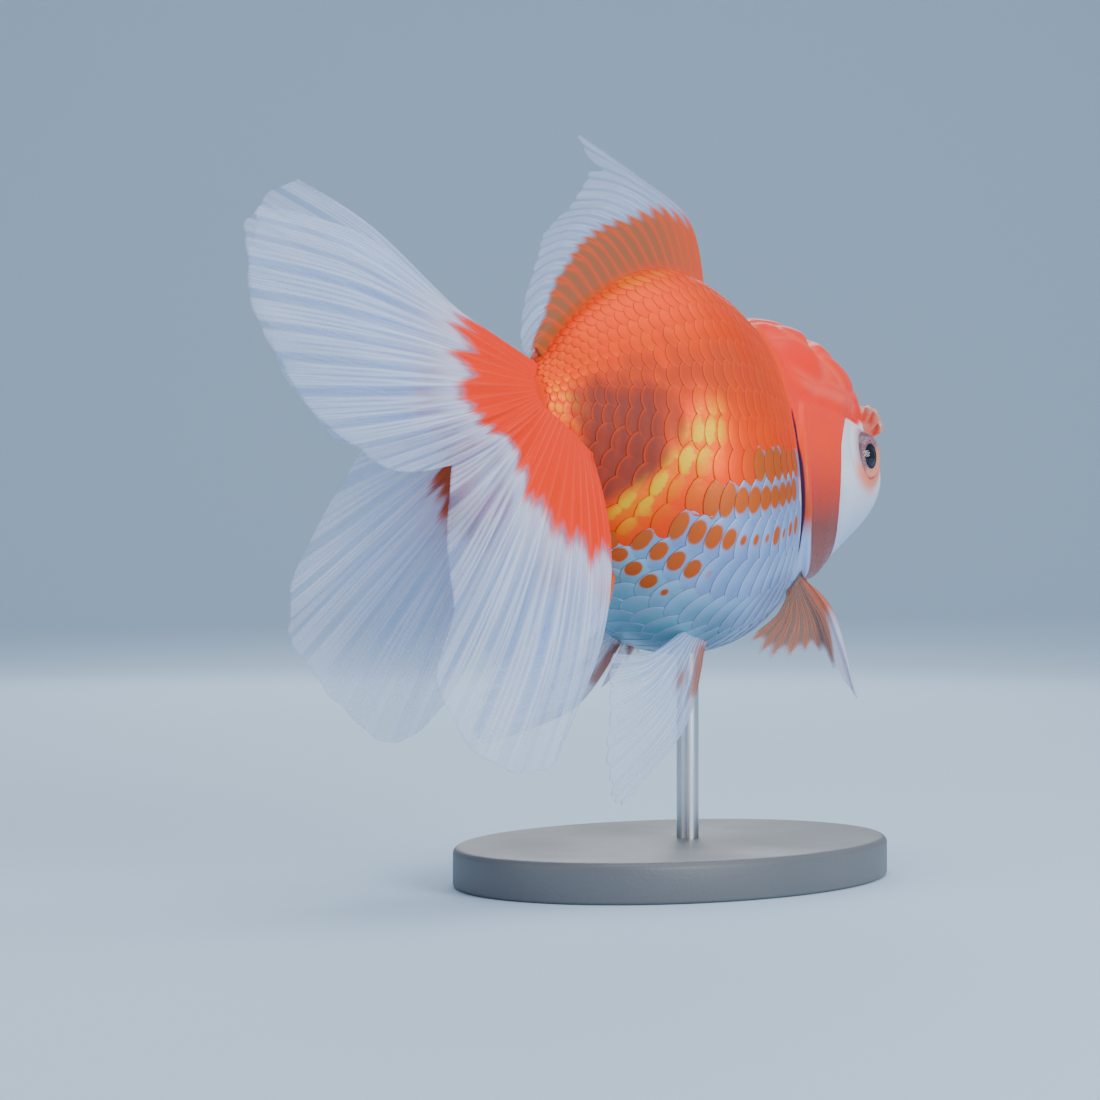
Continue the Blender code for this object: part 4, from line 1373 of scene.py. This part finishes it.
LOWER_LOBES = {
    -1: (
        UPPER_LOBES[-1][-1],
        ((-12.2, 8.0, 13.2), (-23.8, 11.0, 3.7), (-35.5, 14.2, -6.0)),
        ((-12.0, 10.0, 7.6), (-26.4, 13.9, -7.0), (-42.2, 17.5, -22.5)),
        ((-5.6, 11.0, 0.9), (-17.2, 14.9, -16.9), (-31.6, 18.2, -34.0)),
        ((1.4, 11.4, -0.6), (-5.5, 14.4, -18.5), (-16.5, 16.4, -36.0)),
        ((7.9, 11.0, 0.7), (3.1, 13.1, -15.0), (-9.0, 15.0, -31.5)),
    ),
    1: (
        UPPER_LOBES[1][-1],
        ((-13.3, 8.0, 14.5), (-27.1, 11.0, 5.2), (-42.6, 14.0, -5.2)),
        ((-12.3, 9.7, 9.9), (-26.0, 13.2, -2.2), (-40.8, 16.0, -15.4)),
        ((-7.0, 11.0, 4.4), (-17.2, 14.8, -10.4), (-28.6, 17.6, -26.0)),
        ((0.0, 11.5, 1.2), (-6.6, 15.0, -15.6), (-15.6, 17.6, -33.2)),
        ((7.0, 11.0, 0.7), (3.2, 13.2, -13.5), (-5.0, 15.3, -27.0)),
    ),
}


def tail_shape(reach_at, reaches, patch, pleats, fork, seed):
    """The base's colour reaches along the rays by the reaches, and is painted brown as shadow beyond
    patch. Fork is where along u the two lobes of one side meet, and the web is gathered in folds."""

    def shape(u, v, across):
        frayed = 0.5 + 0.5 * ripple(seed, u * 55)
        margin = ray_tips(across, 0.006) - 0.012 * frayed - 0.012 * (0.5 + 0.5 * ripple(seed + 5, u * 13))
        margin = margin - 0.15 * bell(u, fork, 0.045 if fork else 0.09)
        reach = np.interp(u, reach_at, reaches) + 0.028 * ripple(seed + 1, u * 24)
        teeth = 0.026 * (0.5 - np.cos(math.pi * across) ** 2) + 0.024 * ripple(seed + 2, u * 42)
        tint = rise(v, reach + teeth + 0.045, reach + teeth - 0.030)
        inner = np.sin(math.pi * np.clip(u, 0, 1)) ** 0.5
        pleat = inner * rise(v, 0.1, 0.7) * 0.65 * np.sin(2 * math.pi * pleats * u + seed)
        folds = bell(u, fork, 0.34) * rise(v, 0.12, 0.40) * rise(v, 1.0, 0.75)
        pleat = pleat + 0.50 * inner * folds * np.sin(2 * math.pi * 8.5 * u + 2.0 * v)
        stout = bell(u, 1.0 - fork, 0.035) * rise(v, 1.05, 0.75)
        thickness = 1.2 - 0.9 * rise(v, -0.05, 0.45) + 0.35 * stout
        masks = {
            "tint": tint,
            "warm": 0.35 * rise(v, 0.22, 0.02),
            # Painted shadow on the base beyond patch.
            "dark": tint * rise(v, patch, patch + 0.05),
            "milky": (1 - tint) * rise(v, reach + 0.30, reach + 0.02),
            "stout": 0.8 * stout * (1 - tint),
        }
        return margin, pleat, thickness, masks

    return shape


tail_finish = fin_finish(
    "tail_fin",
    web=(0.28, 0.47, 0.90),
    ray=(0.70, 0.78, 0.96),
    base_web=(1.0, 0.036, 0.005),
    base_ray=(1.0, 0.060, 0.022),
    web_alpha=(0.46, 0.15, 0.94),
    ray_alpha=(0.80, 0.32),
    width=RAY_WIDTH,
)
# Places across a lobe, how far along the rays the base's colour reaches there, and from where along
# them it is painted brown as shadow.
REACH_UPPER = ((0, 0.3, 0.5, 1), (0.27, 0.28, 0.34, 0.45), 1.2)
REACH_LOWER = {
    -1: ((0, 0.1, 0.2, 0.7, 0.9, 1), (0.45, 0.37, 0.30, 0.30, 0.35, 0.39), 1.2),
    1: ((0, 0.2, 0.30, 0.45, 0.60, 0.75, 1), (0.40, 0.33, 0.385, 0.37, 0.355, 0.32, 0.35), 0.25),
}
for side, label in ((-1, "right"), (1, "left")):
    for lobe, roots, tables, reaches, pleats, fork, seed in (
        ("upper", UPPER_ROOTS, UPPER_LOBES, REACH_UPPER, 4.0, 1.0, 41),
        ("lower", LOWER_ROOTS, LOWER_LOBES, REACH_LOWER[side], 5.0, 0.0, 51),
    ):
        piece = fin_mesh(
            f"tail_{lobe}_{label}_web",
            [(root, *points) for root, points in zip(roots, tables[side])],
            side,
            ray_count=13,
            cells=(286, 76),
            finish=tail_finish,
            width=RAY_WIDTH,
            seed=seed + side,
            shape=tail_shape(*reaches, pleats, fork, seed + side),
        )
        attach(piece, "root")
        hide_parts(f"tail_{lobe}_{label}")


# ---- paired fins
# Each ray from the leading one back, as its root and points along it.
PECTORAL_RAYS = (
    (on_flank(57.2, -4.4), (57.8, 21.8, -11.0), (55.2, 29.2, -26.2)),
    (on_flank(56.5, -5.0), (57.2, 20.8, -12.4), (55.8, 25.4, -22.6)),
    (on_flank(55.8, -5.6), (56.2, 18.8, -12.6), (56.6, 19.8, -18.2)),
    (on_flank(55.0, -6.3), (53.6, 17.8, -12.8), (52.0, 17.4, -19.2)),
    (on_flank(54.2, -7.0), (50.6, 17.0, -12.6), (45.0, 16.2, -19.2)),
    (on_flank(53.4, -7.7), (48.0, 16.8, -11.8), (41.3, 15.4, -15.8)),
)
PELVIC_RAYS = (
    (on_belly(36.0, 8.0), (28.6, 11.0, -31.0), (8.6, 13.0, -43.2)),
    (on_belly(34.5, 8.0), (25.0, 11.0, -29.6), (6.0, 12.6, -41.0)),
    (on_belly(33.0, 8.0), (22.4, 10.6, -26.4), (6.0, 12.0, -34.0)),
    (on_belly(31.5, 8.0), (20.4, 10.2, -22.2), (7.4, 11.2, -26.0)),
    (on_belly(30.0, 8.0), (20.0, 9.8, -18.0), (9.4, 10.4, -17.4)),
)
ANAL_RAYS = (
    (on_belly(17.0, 4.0), (12.0, 5.6, -13.0), (-2.0, 7.0, -20.0)),
    (on_belly(14.0, 3.8), (8.4, 5.4, -9.4), (-4.4, 6.6, -15.0)),
    (on_belly(11.0, 3.4), (5.4, 4.8, -4.2), (-3.6, 5.6, -7.0)),
)
PELVIC_SWEEP = {-1: 0.0, 1: math.radians(18)}  # the left one is swept further back


def swept(rays, turn):
    """The rays turned backwards about the leading root by an angle in side view."""
    hinge = np.array(rays[0][0])
    cosine, sine = math.cos(turn), math.sin(turn)

    def turned(point):
        x, out, z = np.array(point) - hinge
        return tuple(hinge + (x * cosine + z * sine, out, -x * sine + z * cosine))

    return [(root, turned(middle), turned(tip)) for root, middle, tip in rays]


def pectoral_shape(u, v, across):
    """Brown behind its stout pale leading rays, and scalloped between the tips."""
    leading = rise(u, 0.24, 0.14)
    margin = 1 - 0.15 * (1 - leading) * np.abs(np.cos(math.pi * across))
    limit = 0.96 - 0.44 * leading
    tint = rise(v, limit + 0.10, limit - 0.10)
    warm = np.clip(1.1 * leading, 0, 1) * rise(v, 0.02, 0.10)
    stout = bell(u, 0.0, 0.06) * rise(v, 1.0, 0.4)
    thickness = 0.9 - 0.6 * rise(v, 0.0, 0.5) + 1.0 * stout
    stout = np.maximum(stout, 0.8 * leading)
    masks = {
        "tint": tint,
        "warm": warm,
        "dark": 0.30 * (1 - leading) * tint,
        "milky": 0.8 * leading * (1 - tint),
        "stout": stout * (1 - tint),
    }
    return margin, 0.25 * np.sin(u * 20) * v, thickness, masks


def pelvic_shape(u, v, across):
    """White, with a brown streak by the root of its leading edge and one brown blot."""
    margin = ray_tips(across, 0.03) - 0.02 * (0.5 + 0.5 * ripple(61, u * 40))
    stout = bell(u, 0.0, 0.05)
    thickness = 0.9 - 0.6 * rise(v, 0.0, 0.5) + 0.5 * stout
    dark = rise(v, 0.42, 0.30) * rise(u, 0.24, 0.12) * rise(v, -0.02, 0.05)
    dark = np.maximum(dark, bell(u, 0.40, 0.07) * bell(v, 0.30, 0.07))
    tint = 0.4 * rise(v, 0.30, 0.15) * rise(u, 0.5, 0.2)
    masks = {"tint": tint, "dark": dark, "stout": 0.6 * stout * rise(v, 1.0, 0.5)}
    return margin, 0.3 * np.sin(u * 16) * v, thickness, masks


def anal_shape(u, v, across):
    margin = ray_tips(across, 0.05)
    thickness = 0.9 - 0.55 * rise(v, 0.0, 0.5)
    return margin, 0.2 * np.sin(u * 12) * v, thickness, {"tint": rise(v, 0.45, 0.25)}


pectoral_finish = fin_finish(
    "pectoral_fin",
    web=(0.50, 0.56, 0.80),
    ray=(0.66, 0.66, 0.90),
    base_web=(0.19, 0.100, 0.055),
    base_ray=(0.76, 0.150, 0.025),
    web_alpha=(0.30, 0.12, 0.60),
    ray_alpha=(0.70, 0.30),
    width=0.075,
)
white_fin_finish = fin_finish(
    "white_fin",
    web=(0.32, 0.50, 0.90),
    ray=(0.70, 0.78, 0.96),
    base_web=(0.85, 0.12, 0.03),
    base_ray=(0.92, 0.16, 0.04),
    web_alpha=(0.40, 0.16, 0.80),
    ray_alpha=(0.75, 0.38),
    width=RAY_WIDTH,
)
for side, label in ((-1, "right"), (1, "left")):
    for fin, rays, count, cells, finish, shape in (
        ("pectoral", PECTORAL_RAYS, 9, (144, 44), pectoral_finish, pectoral_shape),
        ("pelvic", swept(PELVIC_RAYS, PELVIC_SWEEP[side]), 10, (160, 56), white_fin_finish, pelvic_shape),
        ("anal", ANAL_RAYS, 7, (84, 40), white_fin_finish, anal_shape),
    ):
        name = f"{fin}_fin_{label}_web"
        piece = fin_mesh(name, rays, side, count, cells, finish, RAY_WIDTH, seed=71, shape=shape)
        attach(piece, "root")
        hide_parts(f"{fin}_fin_{label}")

# ---------------------------------------------------------------- eyes
# Round, lidless and set level with the cheek. A flat iris, coppery pink round a wide black pupil, sits
# a little behind a clear, wet cornea that bulges out.

EYE_AXIS = unit(np.array((0.13, 1.0, 0.05)))  # where the left eye looks
BALL_RADIUS = EYE_RADIUS - 0.10
IRIS_DEPTH = 2.8  # from the eye's centre to the plane of the iris
PUPIL_RADIUS = 2.4
IRIS_EDGE = (3.65, 3.95)  # it fades out between these distances from the eye's axis
# Each on the eye's rear, upper side, which is painted darker and cooler as shade, and on its lit side.
IRIS = ((0.20, 0.095, 0.135), (0.85, 0.26, 0.15))
PUPIL_RIM = ((0.30, 0.15, 0.17), (0.95, 0.45, 0.26))
EYE_WHITE = ((0.17, 0.09, 0.13), (0.62, 0.26, 0.20))
IRIS_FIBRE = (0.90, 0.42, 0.34)
PUPIL_DARK = (0.004, 0.006, 0.016)
FAR_FROM_AXIS = 9.0  # stands for the back half of the ball
EYE_RINGS, EYE_SEGMENTS = 56, 72


def eye_finish():
    finish, add, shader = new_finish("eye", {"Specular IOR Level": 0.15})
    from_axis, turn = add.read("from_axis"), add.read("turn")
    at = add.put("ShaderNodeCombineXYZ", {0: turn, 1: add.times(from_axis, 0.25)})
    fibres = add.noise(9.0, 3.0, at.outputs[0])
    # Painted shade: the eye is darker and cooler on its rear, upper side.
    warm = add.read("lit_side")
    iris = add.mix(warm, *IRIS)
    iris = add.mix(add.times(add.span(fibres, 0.3, 0.7), 0.3), iris, IRIS_FIBRE)
    rim = add.mix(warm, *PUPIL_RIM)
    iris = add.mix(add.span(from_axis, PUPIL_RADIUS + 0.30, PUPIL_RADIUS), iris, rim)
    white = add.mix(warm, *EYE_WHITE)
    colour = add.mix(add.span(from_axis, *IRIS_EDGE), iris, white)
    pupil = add.span(from_axis, PUPIL_RADIUS + 0.05, PUPIL_RADIUS - 0.07)
    colour = add.mix(pupil, colour, PUPIL_DARK)
    add.feed(shader.inputs["Base Color"], colour)
    add.feed(shader.inputs["Metallic"], add.span(from_axis, 3.3, 2.4, 0.0, 0.3))
    add.feed(shader.inputs["Roughness"], add.span(fibres, 0.3, 0.7, 0.22, 0.40))
    return finish


def eye_sphere(name, side, radius_at, finish):
    """A closed ball round the eye's axis, with a radius for each angle off it."""
    axis = EYE_AXIS * (1, side, 1)
    first = unit(np.cross(axis, (0, 0, 1)))
    second = np.cross(axis, first)
    polar, turn = np.meshgrid(
        np.linspace(0, math.pi, EYE_RINGS + 2)[1:-1],
        2 * math.pi * np.arange(EYE_SEGMENTS) / EYE_SEGMENTS,
        indexing="ij",
    )
    radius = radius_at(polar)
    ray = (
        axis * np.cos(polar)[..., None]
        + first * (np.sin(polar) * np.cos(turn))[..., None]
        + second * (np.sin(polar) * np.sin(turn))[..., None]
    )
    centre = np.array(EYE_CENTRE) * (1, side, 1)
    points = (centre + ray * radius[..., None]).reshape(-1, 3)
    ends = (centre + axis * radius_at(np.array(0.0)), centre - axis * radius_at(np.array(math.pi)))
    faces = closed_faces(EYE_RINGS, EYE_SEGMENTS)
    made = new_object(name, np.concatenate((points, np.stack(ends))), faces, finish)
    from_axis = np.where(polar < math.pi / 2, radius * np.sin(polar), FAR_FROM_AXIS)
    off = points - centre
    set_masks(
        made,
        {
            # Painted shade: 0 on the rear, upper side of the eye, 1 on the lit side.
            "lit_side": np.append(rise(off[:, 0] - 1.1 * off[:, 2], -0.5, 2.5), (0.0, 0.0)),
            "from_axis": np.append(from_axis.ravel(), (0.0, FAR_FROM_AXIS)),
            "turn": np.append(np.abs(turn.ravel() - math.pi), (0.0, 0.0)),
        },
    )
    return made


def ball_radius(polar):
    """The eyeball's radius: flat at the iris, with the pupil swelling forwards a little."""
    flat = IRIS_DEPTH / np.maximum(np.cos(polar), 0.05)
    lens = 0.35 * rise(polar, 0.66, 0.30)
    return np.minimum(BALL_RADIUS, flat + lens)


def cornea_radius(polar):
    return np.full(np.shape(polar), EYE_RADIUS)


eye_material = eye_finish()
# The cornea is a clear film: see-through, with a thin mirror of the lights.
cornea_material, _ = plain_finish(
    "cornea", {"Base Color": (0.95, 0.97, 1.0, 1), "Roughness": 0.06, "Metallic": 1.0, "Alpha": 0.03}
)
for side, label in ((-1, "right"), (1, "left")):
    ball = eye_sphere(f"eyeball_{label}", side, ball_radius, eye_material)
    cornea = eye_sphere(f"cornea_{label}", side, cornea_radius, cornea_material)
    for piece in (ball, cornea):
        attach(piece, "root")
    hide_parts(f"eye_{label}")

# ---------------------------------------------------------------- nostril frills
# A small frill of flesh stands up from each nostril, ruffled along its free edge and rooted in the
# skin in front of the eye.

FRILL_RED, FRILL_PINK, FRILL_EDGE = (0.90, 0.10, 0.045), (0.85, 0.22, 0.14), (0.62, 0.38, 0.30)


def frill_finish():
    finish, add, shader = new_finish(
        "nostril_frill",
        {
            "Subsurface Weight": 0.15,
            "Subsurface Radius": (0.002, 0.0008, 0.0005),
            "Coat Weight": 0.10,
        },
    )
    mottle = add.noise(420.0, 3.0)
    colour = add.mix(add.span(mottle, 0.35, 0.65), FRILL_RED, FRILL_PINK)
    colour = add.mix(add.read("edge"), colour, FRILL_EDGE)
    add.feed(shader.inputs["Base Color"], colour)
    add.feed(shader.inputs["Roughness"], add.span(mottle, 0.3, 0.7, 0.32, 0.46))
    return finish


def frill_shape(u, v, across):
    """Lobed and ruffled, and thicker and paler towards its free edge."""
    lobed = 1 - 0.26 * np.abs(np.cos(math.pi * u * 4)) ** 3
    thickness = 0.5 + 0.55 * rise(v, 0.35, 1.0)
    ruffle = 0.62 * np.sin(2 * math.pi * 3.5 * u + 0.6) * rise(v, 0.1, 0.9)
    return lobed, ruffle, thickness, {"edge": 0.7 * rise(v, 0.72, 1.0)}


FRILL_RAYS = (
    (on_flank(89.6, 20.2), (90.1, 10.2, 22.4), (90.0, 11.0, 23.6)),
    (on_flank(88.7, 21.2), (89.0, 10.2, 23.6), (88.8, 11.4, 25.6)),
    (on_flank(87.6, 22.3), (87.5, 9.9, 24.7), (87.0, 11.2, 27.0)),
    (on_flank(86.5, 23.2), (86.0, 9.7, 25.4), (85.0, 10.8, 27.4)),
    (on_flank(85.5, 23.9), (84.6, 9.6, 25.6), (83.4, 10.0, 26.6)),
)
frill_material = frill_finish()
for side, label in ((-1, "right"), (1, "left")):
    frill = fin_mesh(
        f"nostril_frill_{label}",
        FRILL_RAYS,
        side,
        ray_count=1,
        cells=(64, 20),
        finish=frill_material,
        width=RAY_WIDTH,
        seed=81,
        shape=frill_shape,
    )
    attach(frill, "root")
    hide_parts(f"nostril_flap_{label}")

# ---------------------------------------------------------------- stand
# A flat oval base of moulded matt plastic and a brushed steel rod hold the fish up in place of water.

STAND_BASE_SIZE = (92.0, 68.0, 7.0)
STAND_BASE_EDGE = 1.2
STAND_ROD_RADIUS = 2.0
STAND_ROD_X = 44.0
ROD_IN_BASE, ROD_IN_BELLY = 1.0, 1.5
MATT_GREYS = ((0.115, 0.125, 0.14), (0.145, 0.155, 0.17))
STEELS = ((0.52, 0.54, 0.57), (0.66, 0.68, 0.71))


def base_finish():
    finish, add, shader = new_finish("stand_base")
    grain = add.noise(2200.0, 2.0)
    cloud = add.noise(35.0, 3.0)
    add.feed(shader.inputs["Base Color"], add.mix(cloud, *MATT_GREYS))
    add.feed(shader.inputs["Roughness"], add.span(cloud, 0.3, 0.7, 0.42, 0.55))
    add.bump(shader, grain, 0.3, 0.0002)
    return finish


def rod_finish():
    finish, add, shader = new_finish("stand_rod", {"Metallic": 1.0})
    stretch = add.put("ShaderNodeMapping", {"Vector": add.place(), "Scale": (4000.0, 4000.0, 25.0)})
    brushed = add.noise(1.0, 3.0, stretch.outputs[0])
    add.feed(shader.inputs["Base Color"], add.mix(brushed, *STEELS))
    add.feed(shader.inputs["Roughness"], add.span(brushed, 0.3, 0.7, 0.22, 0.38))
    return finish


def oval(x, half_length, half_width, z, segments):
    turns = 2 * math.pi * np.arange(segments) / segments
    return np.stack(
        (x + half_length * np.cos(turns), half_width * np.sin(turns), np.full(segments, z)), axis=-1
    )


def lathed(name, rings, finish):
    """A solid from closed rings of points, capped at both ends."""
    segments = len(rings[0])
    faces = ring_faces(len(rings), segments).tolist()
    faces.append(list(range(segments)))
    faces.append(list(range((len(rings) - 1) * segments, len(rings) * segments)))
    made = new_object(name, np.concatenate(rings), faces, finish)
    made.data.set_sharp_from_angle(angle=math.radians(40))
    return made


length, width, height = STAND_BASE_SIZE
floor = -TAIL_ROOT[2]
# Height above the floor, and how far the base's side is set in there.
levels = [(0.0, 0.6), (0.3, 0.15), (0.6, 0.0), (height - STAND_BASE_EDGE, 0.0)]
for i in range(1, 7):
    bend = math.pi / 2 * i / 6
    inset = STAND_BASE_EDGE * (1 - math.cos(bend))
    levels.append((height - STAND_BASE_EDGE * (1 - math.sin(bend)), inset))
base = lathed(
    "stand_base_plate",
    [
        oval(-TAIL_ROOT[0], length / 2 - inset, width / 2 - inset, floor + up, 128)
        for up, inset in levels
    ],
    base_finish(),
)
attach(base, "root")
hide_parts("stand_base")

rod_foot = floor + height - ROD_IN_BASE
rod_head = float(through(HULL, row_at(STAND_ROD_X))[2]) + ROD_IN_BELLY
rod = lathed(
    "stand_rod_steel",
    [
        oval(STAND_ROD_X, STAND_ROD_RADIUS, STAND_ROD_RADIUS, z, 48)
        for z in (rod_foot, floor + height + 0.01, rod_head)
    ],
    rod_finish(),
)
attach(rod, "root")
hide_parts("stand_rod")
